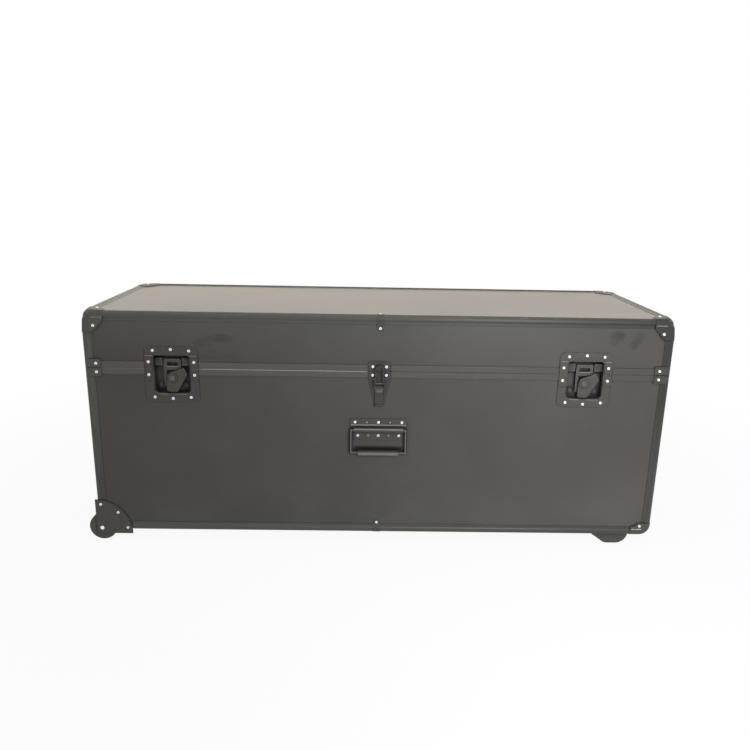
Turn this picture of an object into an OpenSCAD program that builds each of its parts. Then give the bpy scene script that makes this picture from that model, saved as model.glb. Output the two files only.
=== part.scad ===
// Long trunk in the manner of a flight case: laminated panels in aluminium edge rails,
// hinged lid, recessed twist latches, draw catch, folding handles, corner wheels and feet.
// Front faces -Y, width runs along X, the floor is z = 0. Sizes are in millimetres.

/* [Case] */
// Width over the edge rails
case_w = 1200; // [900:5:1500]
// Depth over the edge rails
case_d = 405; // [340:1:520]
// Height of the case itself, without wheels
case_h = 480; // [420:1:560]
// Height of the parting line above the case bottom
part_h = 363; // [330:1:400]
// Gap between the floor and the case bottom
floor_gap = 25; // [22:0.5:27]
// Panel thickness
panel_t = 9; // [8:0.5:12]

/* [Edge rails] */
// Width of one rail leg
rail_leg = 19.5; // [17:0.5:26]
// Width of the thick outer bead
bead_w = 10.5; // [9.5:0.5:14]
// Bead thickness over the panel face
rail_t = 3.2; // [3:0.1:4]
// Thickness of the thin inner lip
lip_t = 1; // [0.8:0.1:1.6]
// Outer edge radius of the rails
rail_r = 8; // [7:0.25:9]
// Leg length of the corner caps
cap_leg = 44; // [40:1:52]
// Height of the two lower corner caps
low_cap_h = 28; // [26:0.5:34]

/* [Rim] */
// Height of the outer rim band on each side of the parting line
band_h = 13.5; // [12:0.5:15]
// Thickness of the rim band
band_t = 1.4; // [1:0.1:1.6]
// Gap between the two rims when shut
rim_gap = 0.5; // [0.3:0.1:0.8]
// Width of the groove in the base rim
groove_w = 5; // [4.8:0.1:5.4]
// Thickness of the tongue on the lid rim
tongue_t = 2.5; // [2:0.1:2.7]
// Length of a corner brace along each side
brace_w = 34; // [30:1:38]
// Height of a corner brace
brace_h = 18; // [16:0.5:20]
// Gap between the upper and the lower brace of a corner
brace_gap = 1.6; // [0.6:0.1:2]

/* [Latches] */
// Distance of each latch from the middle of the case
latch_x = 424; // [380:1:440]
// Width of the latch flange
flange_w = 110; // [106:1:116]
// Width of the recess
recess_w = 74; // [72:0.5:78]
// Depth of the recess behind the panel face
recess_d = 16; // [16:0.5:18]
// Sheet thickness of the latch trays
tray_t = 1.5; // [1.2:0.1:1.8]

/* [Handles] */
// Overall width of a handle
handle_w = 120; // [114:1:130]
// Height of the front handle pivot above the case bottom
handle_h = 237.5; // [225:0.5:245]
// Drop from the pivot to the middle of the grip
bail_drop = 50; // [48:0.5:56]
// Radius of the grip
grip_r = 6.5; // [6:0.25:7]

/* [Wheels and feet] */
// Wheel radius
wheel_r = 29.5; // [28:0.5:31]
// Wheel width
wheel_w = 22; // [20:0.5:23]
// Radius of the quarter round wheel plate
plate_r = 76; // [72:1:80]
// Middle of the foot, from the middle of the case
foot_x = 516; // [500:1:520]
// Width of the foot, front to back
foot_d = 42; // [36:1:50]

/* [Hinges] */
// Distance of each hinge from the middle of the case
hinge_x = 380; // [330:5:420]
// Length of a hinge knuckle row
hinge_w = 70; // [66:1:80]

/* [Rivets] */
// Radius of a rivet head
rivet_r = 3.1; // [2.8:0.1:4]
// Height of a rivet head
rivet_h = 1.5; // [1.2:0.1:2.2]

/* [Hidden] */
$fn = 48;
hw = case_w / 2;
hd = case_d / 2;
z0 = floor_gap;
z1 = floor_gap + case_h;
zp = floor_gap + part_h;
fx = hw - rail_t;
fy = hd - rail_t;
ix = fx - panel_t;
iy = fy - panel_t;
base_top = zp - 6;
lid_low = zp + 2.5;
axle_x = -593;
axle_y = fy - 1 - wheel_w / 2;
plate_x = -604;
plate_z = z0 - 6;
bracket_end = plate_x + plate_r + 1;
low_mid_rivet = 23.2;
top_mid_rivet = 27.8;
cap_round = 25;
cap_ball_r = 36.6;
cap_rivet_x = 25;
top_rivet_z = 30;
low_rivet_z = low_cap_h - 6;
shank_r = 2;
hinge_e = 5;
knuckle_r = 4;
pin_r = 2;
wing_z = zp - 21;

// Places a child drawn on the front face: local -Y points out of the case.
module on_front(x, z) {
    translate([x, -fy, z]) children();
}

// Places the same child on the right end, the back or the left end.
module on_right(y, z) {
    translate([fx, y, z]) rotate([0, 0, 90]) children();
}
module on_back(x, z) {
    translate([x, fy, z]) rotate([0, 0, 180]) children();
}
module on_left(y, z) {
    translate([-fx, y, z]) rotate([0, 0, -90]) children();
}

// Upright plate from local depth y0 outwards by t, outline drawn in x and z.
module plate(y0, t) {
    translate([0, y0, 0]) rotate([90, 0, 0]) linear_extrude(t) children();
}

// Rectangle between two corners with rounded corners.
module round_rect(x0, z0, x1, z1, r) {
    translate([x0 + r, z0]) square([x1 - x0 - 2 * r, z1 - z0]);
    translate([x0, z0 + r]) square([x1 - x0, z1 - z0 - 2 * r]);
    for (x = [x0 + r, x1 - r], z = [z0 + r, z1 - r]) translate([x, z]) circle(r);
}

// One rivet: domed head outwards, shank inwards, seat at local y = 0.
module rivet(shank) {
    sr = (rivet_r * rivet_r + rivet_h * rivet_h) / (2 * rivet_h);
    rotate([90, 0, 0]) {
        difference() {
            translate([0, 0, rivet_h - sr]) sphere(sr);
            translate([-9, -9, -18]) cube(18);
        }
        translate([0, 0, -shank]) cylinder(r = shank_r, h = shank);
    }
}

// Rivet holes through a plate, at points given in x and z.
module holes(pts) {
    for (p = pts) translate([p[0], 6, p[1]]) rotate([90, 0, 0]) cylinder(r = shank_r + 0.05, h = 14);
}

// Rivets at the same points, seated on a plate of the given thickness.
module rivets(pts, seat) {
    for (p = pts) translate([p[0], -seat, p[1]]) rivet(seat - 0.05);
}

// Rail section: corner of the case at the origin, legs along both axes.
module rail_section() {
    difference() {
        union() {
            translate([rail_r, rail_r]) circle(rail_r);
            translate([rail_r, 0]) square([bead_w - rail_r, bead_w]);
            translate([0, rail_r]) square([bead_w, bead_w - rail_r]);
            translate([bead_w - 1, rail_t - lip_t]) square([rail_leg - bead_w + 1, lip_t]);
            translate([rail_t - lip_t, bead_w - 1]) square([lip_t, rail_leg - bead_w + 1]);
        }
        translate([rail_t, rail_t]) square(40);
    }
}

// Rail along X from xa to xb for the edge at the lower front, then mirrored as needed.
module rail_x(xa, xb, y, z, top) {
    translate([xa, y, z]) mirror([0, y > 0 ? 1 : 0, 0]) mirror([0, 0, top ? 1 : 0])
        rotate([90, 0, 90]) linear_extrude(xb - xa) rail_section();
}
module rail_y(ya, yb, x, z, top) {
    translate([x, ya, z]) mirror([x > 0 ? 1 : 0, 0, 0]) mirror([0, 0, top ? 1 : 0])
        translate([0, yb - ya, 0]) rotate([90, 0, 0]) linear_extrude(yb - ya) rail_section();
}
module rail_z(za, zb, x, y) {
    translate([x, y, za]) mirror([x > 0 ? 1 : 0, 0, 0]) mirror([0, y > 0 ? 1 : 0, 0])
        linear_extrude(zb - za) rail_section();
}

// Outline of a panel with chosen corners cut round to clear the caps.
module panel_shape(x0, z0, x1, z1, low_l, low_r, top_l, top_r) {
    r = 28;
    difference() {
        translate([x0, z0]) square([x1 - x0, z1 - z0]);
        if (low_l) clip(x0, z0, 1, 1, r);
        if (low_r) clip(x1, z0, -1, 1, r);
        if (top_l) clip(x0, z1, 1, -1, r);
        if (top_r) clip(x1, z1, -1, -1, r);
    }
}
module clip(x, z, sx, sz, r) {
    translate([x, z]) mirror([sx < 0 ? 1 : 0, 0]) mirror([0, sz < 0 ? 1 : 0]) difference() {
        translate([-1, -1]) square(r + 1);
        translate([r, r]) circle(r);
    }
}

// Clearance for both wheel housings in the panels around the left lower corners.
module wheel_cut() {
    for (s = [-1, 1]) translate([axle_x, s > 0 ? 171 : -hd - 2, wheel_r])
        rotate([-90, 0, 0]) cylinder(r = 37, h = hd + 2 - 171);
}

// Openings for the latch recesses in the front panels and in the rims.
module recess_cut(extra) {
    for (s = [-1, 1]) translate([s * latch_x, -fy, 0]) translate([0, 20, 0]) rotate([90, 0, 0])
        linear_extrude(30) round_rect(-recess_w / 2 - tray_t - extra, zp - 53 - tray_t - extra,
            recess_w / 2 + tray_t + extra, zp + 27 + tray_t + extra, 8);
}

module base_front_panel() {
    color([0.28, 0.28, 0.27]) difference() {
        translate([0, -iy, 0]) rotate([90, 0, 0]) linear_extrude(panel_t)
            panel_shape(-fx, z0 + rail_t, fx, base_top, false, true, false, false);
        recess_cut(0.2);
        wheel_cut();
        on_front(0, z0 + low_mid_rivet) holes([[0, 0]]);
    }
}

module base_back_panel() {
    color([0.28, 0.28, 0.27]) difference() {
        translate([0, fy, 0]) rotate([90, 0, 0]) linear_extrude(panel_t)
            panel_shape(-fx, z0 + rail_t, fx, base_top, false, true, false, false);
        wheel_cut();
    }
}

module base_left_panel() {
    color([0.28, 0.28, 0.27]) difference() {
        translate([-fx, -iy, z0 + rail_t]) cube([panel_t, 2 * iy, base_top - z0 - rail_t]);
        wheel_cut();
    }
}

module base_right_panel() {
    color([0.28, 0.28, 0.27]) translate([ix, 0, 0]) rotate([90, 0, 90]) linear_extrude(panel_t)
        panel_shape(-iy, z0 + rail_t, iy, base_top, true, true, false, false);
}

module base_bottom_panel() {
    color([0.28, 0.28, 0.27]) difference() {
        translate([-ix, -iy, z0 + rail_t]) cube([2 * ix, 2 * iy, panel_t]);
        wheel_cut();
    }
}

module lid_front_panel() {
    color([0.28, 0.28, 0.27]) difference() {
        translate([0, -iy, 0]) rotate([90, 0, 0]) linear_extrude(panel_t)
            panel_shape(-fx, lid_low, fx, z1 - rail_t, false, false, true, true);
        recess_cut(0.2);
        on_front(0, z1 - top_mid_rivet) holes([[0, 0]]);
    }
}

module lid_back_panel() {
    color([0.28, 0.28, 0.27]) translate([0, fy, 0]) rotate([90, 0, 0]) linear_extrude(panel_t)
        panel_shape(-fx, lid_low, fx, z1 - rail_t, false, false, true, true);
}

module lid_end_panel(x) {
    color([0.28, 0.28, 0.27]) translate([x, 0, 0]) rotate([90, 0, 90]) linear_extrude(panel_t)
        panel_shape(-iy, lid_low, iy, z1 - rail_t, false, false, true, true);
}

module lid_top_panel() {
    color([0.28, 0.28, 0.27]) translate([-ix, -iy, z1 - rail_t - panel_t]) cube([2 * ix, 2 * iy, panel_t]);
}

module base_bottom_rails() {
    color([0.16, 0.16, 0.16]) {
        for (y = [-hd, hd]) rail_x(bracket_end, hw - cap_leg - 0.2, y, z0, false);
        rail_y(-hd + cap_leg + 0.2, hd - cap_leg - 0.2, hw, z0, false);
        rail_y(-hd + 56, hd - 56, -hw, z0, false);
    }
}

module base_corner_posts() {
    color([0.16, 0.16, 0.16]) for (y = [-hd, hd]) {
        rail_z(z0 + low_cap_h + 0.2, zp - brace_h - 0.2, hw, y);
        rail_z(plate_z + plate_r + 1, zp - brace_h - 0.2, -hw, y);
    }
}

module lid_top_rails() {
    color([0.16, 0.16, 0.16]) {
        for (y = [-hd, hd]) rail_x(-hw + cap_leg + 0.2, hw - cap_leg - 0.2, y, z1, true);
        for (x = [-hw, hw]) rail_y(-hd + cap_leg + 0.2, hd - cap_leg - 0.2, x, z1, true);
    }
}

module lid_corner_posts() {
    color([0.16, 0.16, 0.16]) for (x = [-hw, hw], y = [-hd, hd])
        rail_z(zp + brace_h + 0.2, z1 - cap_leg - 0.2, x, y);
}

// Ring between two insets measured from the panel face, between two heights.
module ring(out, in, za, zb, r) {
    translate([0, 0, za]) linear_extrude(zb - za) difference() {
        if (r > 0) round_rect(-fx - out, -fy - out, fx + out, fy + out, r);
        else translate([-fx - out, -fy - out]) square([2 * (fx + out), 2 * (fy + out)]);
        translate([-fx + in, -fy + in]) square([2 * (fx - in), 2 * (fy - in)]);
    }
}

// Places where the rims give way to latches, draw catch and hinges.
module rim_cuts() {
    recess_cut(0.2);
    for (s = [-1, 1]) {
        translate([s * latch_x - flange_w / 2 - 0.2, -fy - 4, zp - 20]) cube([flange_w + 0.4, 4, 40]);
        translate([s * hinge_x - hinge_w / 2 - 0.5, fy, zp - 20]) cube([hinge_w + 1, 4, 40]);
    }
    translate([-24, -fy - 4, zp - 20]) cube([48, 4, 40]);
}

module base_rim_groove() {
    g = (panel_t - groove_w) / 2;
    color([0.2, 0.2, 0.2]) difference() {
        ring(band_t, panel_t + band_t, zp - band_h, zp - rim_gap / 2, 3);
        ring(0, panel_t, zp - band_h - 1, base_top, 0);
        ring(-g, g + groove_w, zp - 4.75, zp + 1, 0);
        rim_cuts();
    }
}

module lid_rim_tongue() {
    g = (panel_t - tongue_t) / 2;
    color([0.2, 0.2, 0.2]) difference() {
        union() {
            ring(band_t, panel_t + band_t, zp + rim_gap / 2, zp + band_h, 3);
            ring(-g, g + tongue_t, zp - 3.75, zp + 1, 0);
        }
        ring(0, panel_t, lid_low, zp + band_h + 1, 0);
        rim_cuts();
    }
}

// Corner cap with its corner at the origin and legs along the positive axes.
module cap_quadrant() {
    r = rail_r + 0.8;
    translate([rail_r, rail_r]) circle(r);
    translate([rail_r, -0.8]) square([60, 60]);
    translate([-0.8, rail_r]) square([60, 60]);
}
module cap_web(h) {
    polygon([[-2, -2], [cap_leg, -2], [cap_leg, 19.5], [34, h < 36 ? 21 : 30], [29, h < 36 ? h : 37],
        [20, h], [-2, h]]);
}
module cap(h, rivet_z) {
    intersection() {
        linear_extrude(160, center = true) cap_quadrant();
        rotate([90, 0, 0]) linear_extrude(160, center = true) cap_quadrant();
        rotate([90, 0, 90]) linear_extrude(160, center = true) cap_quadrant();
        difference() {
            union() {
                intersection() {
                    union() {
                        translate([0, 0, -2]) linear_extrude(2 + rail_t) cap_web(cap_leg);
                        translate([0, rail_t, 0]) rotate([90, 0, 0]) linear_extrude(2 + rail_t) cap_web(h);
                        translate([-2, 0, 0]) rotate([90, 0, 90]) linear_extrude(2 + rail_t) cap_web(h);
                    }
                    cap_ball(cap_ball_r);
                }
                difference() {
                    intersection() {
                        translate([-2, -2, -2]) cube([34, 34, min(34, h + 2)]);
                        cap_ball(cap_ball_r);
                    }
                    cap_ball(cap_ball_r - 1.6);
                }
            }
            translate([cap_rivet_x, 30, -5]) cylinder(r = shank_r + 0.05, h = 9);
            translate([cap_rivet_x, -5, rivet_z]) rotate([-90, 0, 0]) cylinder(r = shank_r + 0.05, h = 9);
            translate([-5, cap_rivet_x, rivet_z]) rotate([0, 90, 0]) cylinder(r = shank_r + 0.05, h = 9);
        }
    }
}
// Rounds the corner itself and leaves the legs beyond it square.
module cap_ball(r) {
    translate([cap_round, cap_round, cap_round]) {
        sphere(r, $fn = 96);
        translate([0, -60, -60]) cube([60, 120, 120]);
        translate([-60, 0, -60]) cube([120, 60, 120]);
        translate([-60, -60, 0]) cube([120, 120, 60]);
    }
}

// Moves a child from the lower left front corner to any other corner of the case.
module at_corner(sx, sy, top) {
    translate([sx * hw, sy * hd, top ? z1 : z0]) mirror([sx > 0 ? 1 : 0, 0, 0])
        mirror([0, sy > 0 ? 1 : 0, 0]) mirror([0, 0, top ? 1 : 0]) children();
}

module base_corner_caps() {
    color([0.1, 0.1, 0.1]) for (sy = [-1, 1]) at_corner(1, sy, false) cap(low_cap_h, low_rivet_z);
}

module lid_corner_caps() {
    color([0.1, 0.1, 0.1]) for (sx = [-1, 1], sy = [-1, 1]) at_corner(sx, sy, true) cap(cap_leg, top_rivet_z);
}

// Brace around a vertical edge: thin leg over the rim band, thicker leg past it.
module brace_outer() {
    translate([rail_r, rail_r]) circle(rail_r);
    translate([rail_r, 0]) square([brace_w - rail_r, brace_w]);
    translate([0, rail_r]) square([brace_w, brace_w - rail_r]);
}
module brace_over() {
    a = rail_t - band_t;
    difference() {
        brace_outer();
        translate([a + 3, a + 3]) circle(3);
        translate([a + 3, a]) square(60);
        translate([a, a + 3]) square(60);
    }
}
module brace(up) {
    mirror([0, 0, up ? 0 : 1]) difference() {
        union() {
            translate([0, 0, brace_gap / 2]) linear_extrude(brace_h - brace_gap / 2) brace_over();
            translate([0, 0, band_h + 0.1]) linear_extrude(brace_h - band_h - 0.1) difference() {
                brace_outer();
                translate([rail_t, rail_t]) square(60);
            }
        }
        translate([24, -5, 9]) rotate([-90, 0, 0]) cylinder(r = shank_r + 0.05, h = 12);
        translate([-5, 24, 9]) rotate([0, 90, 0]) cylinder(r = shank_r + 0.05, h = 12);
    }
}
module braces(up) {
    for (sx = [-1, 1], sy = [-1, 1]) translate([sx * hw, sy * hd, zp])
        mirror([sx > 0 ? 1 : 0, 0, 0]) mirror([0, sy > 0 ? 1 : 0, 0]) brace(up);
}
module base_rim_braces() {
    color([0.12, 0.12, 0.12]) braces(false);
}
module lid_rim_braces() {
    color([0.12, 0.12, 0.12]) braces(true);
}

// Wheel bracket on the lower left front corner; the rear one is its mirror image.
bracket_pts = [[-592, z0 + 59.7], [-556.2, z0 + 41.4], [-537.8, z0 + 5.8]];
module wheel_bracket() {
    cheek = fy - wheel_w - 5.5;
    difference() {
        union() {
            on_front(0, 0) plate(0, rail_t) intersection() {
                translate([plate_x, plate_z]) circle(plate_r, $fn = 96);
                translate([plate_x, z0 - 8]) square([plate_r, plate_r + 2]);
            }
            intersection() {
                translate([axle_x, -cheek, wheel_r]) rotate([90, 0, 0]) cylinder(r = 36.5, h = fy - cheek);
                translate([-604, -hd, 18]) cube([80, 40, 80]);
            }
            translate([-fx - 2.2, -fy, z0]) cube([2.2, fy - 150, 70]);
            translate([-fx - 2.2, -fy, z0 + rail_t - 2.2]) cube([66, fy - 150, 2.2]);
        }
        translate([axle_x, -cheek - 3, wheel_r]) rotate([90, 0, 0]) cylinder(r = 34, h = fy - cheek - 3);
        translate([axle_x, -160, wheel_r]) rotate([90, 0, 0]) cylinder(r = 4, h = 60);
        on_front(0, 0) holes(bracket_pts);
    }
}
module wheel_bracket_front() {
    color([0.11, 0.11, 0.11]) wheel_bracket();
}
module wheel_bracket_back() {
    color([0.11, 0.11, 0.11]) mirror([0, 1, 0]) wheel_bracket();
}

// Axle pin with a low domed head on the plate.
module wheel_axle() {
    translate([axle_x, -fy - rail_t, wheel_r]) rotate([-90, 0, 0]) {
        cylinder(r = 4, h = rail_t + wheel_w + 6);
        difference() {
            translate([0, 0, 5.8]) sphere(7.4);
            translate([-20, -20, 0]) cube(40);
        }
    }
}
module wheel_axle_front() {
    color([0.2, 0.2, 0.2]) wheel_axle();
}
module wheel_axle_back() {
    color([0.2, 0.2, 0.2]) mirror([0, 1, 0]) wheel_axle();
}

// Wheel: plastic hub turning on the axle, rubber tyre pressed on the hub.
module wheel_tyre(s) {
    translate([axle_x, s * axle_y, wheel_r]) rotate([90, 0, 0]) rotate_extrude($fn = 96) {
        translate([16, -wheel_w / 2]) square([wheel_r - 20, wheel_w]);
        translate([16, -wheel_w / 2 + 4]) square([wheel_r - 16, wheel_w - 8]);
        for (v = [-1, 1]) translate([wheel_r - 4, v * (wheel_w / 2 - 4)]) circle(4);
    }
}
module wheel_hub(s) {
    translate([axle_x, s * axle_y, wheel_r]) rotate([90, 0, 0]) difference() {
        cylinder(r = 16, h = wheel_w, center = true);
        cylinder(r = 4.06, h = wheel_w + 2, center = true);
        for (v = [-1, 1]) translate([0, 0, v * wheel_w / 2]) difference() {
            cylinder(r = 13, h = 5, center = true);
            cylinder(r = 7.5, h = 6, center = true);
        }
    }
}
module wheel_tyre_front() {
    color([0.07, 0.07, 0.07]) wheel_tyre(-1);
}
module wheel_tyre_back() {
    color([0.07, 0.07, 0.07]) wheel_tyre(1);
}
module wheel_hub_front() {
    color([0.15, 0.15, 0.15]) wheel_hub(-1);
}
module wheel_hub_back() {
    color([0.15, 0.15, 0.15]) wheel_hub(1);
}

// Hump foot with a flat tread, stepped to pass behind the bottom rail.
module foot() {
    r = (26 * 26 + z0 * z0) / (2 * z0);
    translate([foot_x, -hd + 12, 0]) {
        translate([0, foot_d, 0]) rotate([90, 0, 0]) linear_extrude(foot_d) intersection() {
            union() {
                polygon([[-44, z0], [-40, z0 * 0.84], [-15, z0 * 0.13], [-10, z0 * 0.03], [-5, 0],
                    [14, 0], [14, z0]]);
                translate([14, r]) circle(r, $fn = 96);
            }
            translate([-60, 0]) square([120, z0]);
        }
        translate([-36, rail_leg - 11.8, z0]) cube([68, foot_d - rail_leg + 11.8, rail_t]);
    }
}
module foot_front() {
    color([0.08, 0.08, 0.08]) foot();
}
module foot_back() {
    color([0.08, 0.08, 0.08]) mirror([0, 1, 0]) foot();
}

// Latch tray in the base, drawn about the middle of the latch on the parting line.
tray_pts = [[-37, -61], [37, -61], [0, -64]];
tray_side_pts = [[-46.5, -13.5], [46.5, -13.5]];
keeper_pts = [[-36.5, 37], [36.5, 37], [0, 39.6]];
keeper_side_pts = [[-46, 13.5], [46, 13.5]];
pad_t = 0.8;
// Raised pads beside the recess, between two heights.
module side_pads(za, zb) {
    for (s = [0, 1]) mirror([s, 0, 0]) plate(-tray_t, pad_t) translate([recess_w / 2 + 2, za])
        square([flange_w / 2 - recess_w / 2 - 3, zb - za]);
}
module latch_tray() {
    a = recess_w / 2;
    top = -rim_gap / 2;
    difference() {
        union() {
            plate(0, tray_t) intersection() {
                round_rect(-flange_w / 2, -71, flange_w / 2, 20, 12);
                translate([-80, -90]) square([160, 90 + top]);
            }
            plate(recess_d + tray_t, recess_d + tray_t) intersection() {
                round_rect(-a - tray_t, -53 - tray_t, a + tray_t, 20, 10.5);
                translate([-80, -90]) square([160, 90 + top]);
            }
            side_pads(-27, top);
        }
        plate(recess_d, recess_d + 5) round_rect(-a, -53, a, 20, 9);
        holes(tray_pts);
        holes(tray_side_pts);
    }
    for (x = [-26, 26]) translate([x, recess_d, -39]) rotate([90, 0, 0]) {
        cylinder(r = 7, h = 3);
        cylinder(r = 4, h = 5);
    }
}
module latch_tray_left() {
    color([0.13, 0.13, 0.13]) on_front(-latch_x, zp) latch_tray();
}
module latch_tray_right() {
    color([0.13, 0.13, 0.13]) on_front(latch_x, zp) latch_tray();
}

// Keeper tray in the lid with two cheeks and the shelf that the hook grips.
module keeper_tray() {
    a = recess_w / 2;
    low = rim_gap / 2;
    difference() {
        union() {
            plate(0, tray_t) intersection() {
                round_rect(-flange_w / 2, -20, flange_w / 2, 45, 12);
                translate([-80, low]) square([160, 90]);
            }
            plate(recess_d + tray_t, recess_d + tray_t) intersection() {
                round_rect(-a - tray_t, -20, a + tray_t, 27 + tray_t, 8);
                translate([-80, low]) square([160, 90]);
            }
            side_pads(low, 27);
        }
        plate(recess_d, recess_d + 5) round_rect(-a, -20, a, 27, 6.5);
        holes(keeper_pts);
        holes(keeper_side_pts);
    }
    plate(recess_d, recess_d - 11.7) translate([-16, 4]) square([32, 5.4]);
    for (s = [-1, 1]) {
        plate(recess_d, recess_d - 6) translate([s > 0 ? 19.5 : -a, 4]) square([a - 19.5, 16.5]);
        translate([s * 27, 6, 14]) rotate([90, 0, 0]) cylinder(r = 2.6, h = 0.8);
    }
}
module keeper_tray_left() {
    color([0.13, 0.13, 0.13]) on_front(-latch_x, zp) keeper_tray();
}
module keeper_tray_right() {
    color([0.13, 0.13, 0.13]) on_front(latch_x, zp) keeper_tray();
}

// Spindle fixed in the tray floor, with a flat head in front of the wing.
module latch_spindle() {
    translate([0, recess_d, wing_z - zp]) rotate([90, 0, 0]) {
        cylinder(r = 3, h = recess_d - 0.7);
        translate([0, 0, recess_d - 0.7]) cylinder(r = 5.5, h = 0.8);
    }
}
module latch_spindle_left() {
    color([0.3, 0.3, 0.3]) on_front(-latch_x, zp) latch_spindle();
}
module latch_spindle_right() {
    color([0.3, 0.3, 0.3]) on_front(latch_x, zp) latch_spindle();
}

// Folding butterfly wing with its eccentric behind it, turned as it stands at rest.
module latch_wing() {
    translate([0, 0, wing_z - zp]) difference() {
        union() {
            plate(4.6, 2.8) intersection() {
                circle(31, $fn = 96);
                union() {
                    circle(12);
                    polygon([[-12, 0], [-12, -40], [3, -40], [40, 24], [40, 27.3], [-4.1, 11.28]]);
                }
            }
            plate(5, 4) circle(10);
            plate(12.5, 7.6) translate([0, 2.15]) circle(9);
        }
        plate(20, 30) circle(3.05);
    }
}
module latch_wing_left() {
    color([0.18, 0.18, 0.18]) on_front(-latch_x, zp) latch_wing();
}
module latch_wing_right() {
    color([0.18, 0.18, 0.18]) on_front(latch_x, zp) latch_wing();
}

// Hook plate around the eccentric, with a lip that reaches back over the keeper shelf.
module latch_hook() {
    plate(7.2, 1.8) difference() {
        round_rect(-17.5, -40, 17.5, 18.5, 3);
        translate([-12, -33.5]) square([24, 28.5]);
        translate([-11, 3.5]) square([22, 8]);
    }
    plate(11.2, 4.1) translate([-15, 13.9]) square([30, 3]);
}
module latch_hook_left() {
    color([0.16, 0.16, 0.16]) on_front(-latch_x, zp) latch_hook();
}
module latch_hook_right() {
    color([0.16, 0.16, 0.16]) on_front(latch_x, zp) latch_hook();
}

// Draw catch, drawn about the middle of the case on the parting line.
strike_pts = [[-14, 9.8], [14, 9.8]];
catch_pts = [[-14, -8.2], [14, -8.2]];
lever_n = 4.5;
lever_z = -15;
loop_n = 4.2;
loop_z = -25;
loop_lean = 9.5;
module draw_catch_strike() {
    color([0.15, 0.15, 0.15]) on_front(0, zp) difference() {
        union() {
            plate(0, 1.6) intersection() {
                round_rect(-23.5, -10, 23.5, 21.4, 6);
                translate([-40, rim_gap / 2]) square([80, 40]);
            }
            plate(-1.6, 4.5) translate([0, 6]) circle(5.2);
        }
        holes(strike_pts);
    }
}
module draw_catch_base() {
    color([0.15, 0.15, 0.15]) on_front(0, zp) difference() {
        union() {
            plate(0, 1.6) {
                polygon([[-23.5, -rim_gap / 2], [23.5, -rim_gap / 2], [23.5, -14],
                    [10.5, -68], [-10.5, -68], [-23.5, -14]]);
                translate([-5.5, -68]) circle(5);
                translate([5.5, -68]) circle(5);
                translate([-5.5, -73]) square([11, 6]);
            }
            for (s = [-1, 1]) translate([s > 0 ? 12.2 : -14.4, 0, lever_z]) {
                translate([0, -lever_n, 0]) rotate([0, 90, 0]) cylinder(r = 2.8, h = 2.2);
                translate([0, -lever_n, -2.8]) cube([2.2, lever_n - 1.5, 5.6]);
            }
        }
        translate([-20, -lever_n, lever_z]) rotate([0, 90, 0]) cylinder(r = 1.5, h = 40);
        holes(catch_pts);
    }
}

// Two stub pins that carry the lever, one in each ear.
module draw_catch_pin() {
    color([0.4, 0.4, 0.4]) on_front(0, zp) for (s = [-1, 1])
        translate([s > 0 ? 9.7 : -14.9, -lever_n, lever_z]) rotate([0, 90, 0]) cylinder(r = 1.5, h = 5.2);
}

module draw_catch_lever() {
    color([0.17, 0.17, 0.17]) on_front(0, zp) difference() {
        union() {
            for (s = [-1, 1]) translate([s > 0 ? 9.6 : -11.8, 0, 0]) {
                translate([0, -lever_n, lever_z]) rotate([0, 90, 0]) cylinder(r = 2.5, h = 2.2);
                translate([0, -7, -34]) cube([2.2, 5, 34 + lever_z]);
            }
            plate(-2, 2.2) polygon([[-11.8, -31], [11.8, -31], [11.8, -35], [8.5, -42],
                [8.5, -72], [-8.5, -72], [-8.5, -42], [-11.8, -35]]);
            translate([-8.5, -4.4, -72]) rotate([0, 90, 0]) cylinder(r = 2.2, h = 17);
        }
        translate([-20, -lever_n, lever_z]) rotate([0, 90, 0]) cylinder(r = 1.55, h = 40);
        translate([-20, -loop_n, loop_z]) rotate([0, 90, 0]) cylinder(r = 1.5, h = 40);
    }
}

module draw_catch_loop_pin() {
    color([0.4, 0.4, 0.4]) on_front(0, zp) translate([-11.8, -loop_n, loop_z])
        rotate([0, 90, 0]) cylinder(r = 1.5, h = 23.6);
}

// Loop of flat bar on the loop pin, leaning out in front of the strike.
module draw_catch_loop() {
    color([0.2, 0.2, 0.2]) on_front(0, zp) translate([0, -loop_n, loop_z]) rotate([loop_lean, 0, 0])
        difference() {
            union() {
                for (s = [-1, 1]) {
                    translate([s > 0 ? 6 : -9, 0, 0]) rotate([0, 90, 0]) cylinder(r = 2.6, h = 3);
                    translate([s > 0 ? 6 : -9, -1.2, 0]) cube([3, 2.4, 31]);
                }
                plate(1.2, 2.4) translate([0, 31]) difference() {
                    circle(9);
                    circle(6);
                    translate([-20, -40]) square(40);
                }
            }
            translate([-20, 0, 0]) rotate([0, 90, 0]) cylinder(r = 1.55, h = 40);
        }
}

// Folding handle, drawn about the middle of its pivot bar.
pivot_n = 7;
handle_pts = [[-49, 15.5], [0, 15.5], [49, 15.5], [-43, -13.5], [0, -13.5], [43, -13.5]];
dark_pts = [[-25, 15.5], [25, 15.5], [-21, -13.5], [21, -13.5]];
module handle_plate() {
    a = handle_w / 2;
    difference() {
        union() {
            plate(0, 1.6) {
                round_rect(-a, 3, a, 22.8, 4);
                round_rect(-a + 8, -23.5, a - 8, 8, 4);
            }
            translate([-a + 8, -pivot_n, -4]) cube([2 * a - 16, pivot_n, 8]);
            translate([-a + 8, -pivot_n, 0]) rotate([0, 90, 0]) cylinder(r = 5, h = 2 * a - 16);
            for (p = dark_pts) translate([p[0], -1.6, p[1]]) rotate([90, 0, 0]) cylinder(r = 2.6, h = 1);
        }
        for (s = [0, 1]) mirror([s, 0, 0]) translate([a - 20, -pivot_n, 0]) rotate([0, 90, 0])
            cylinder(r = 3.05, h = 30);
        holes(handle_pts);
    }
}
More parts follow.
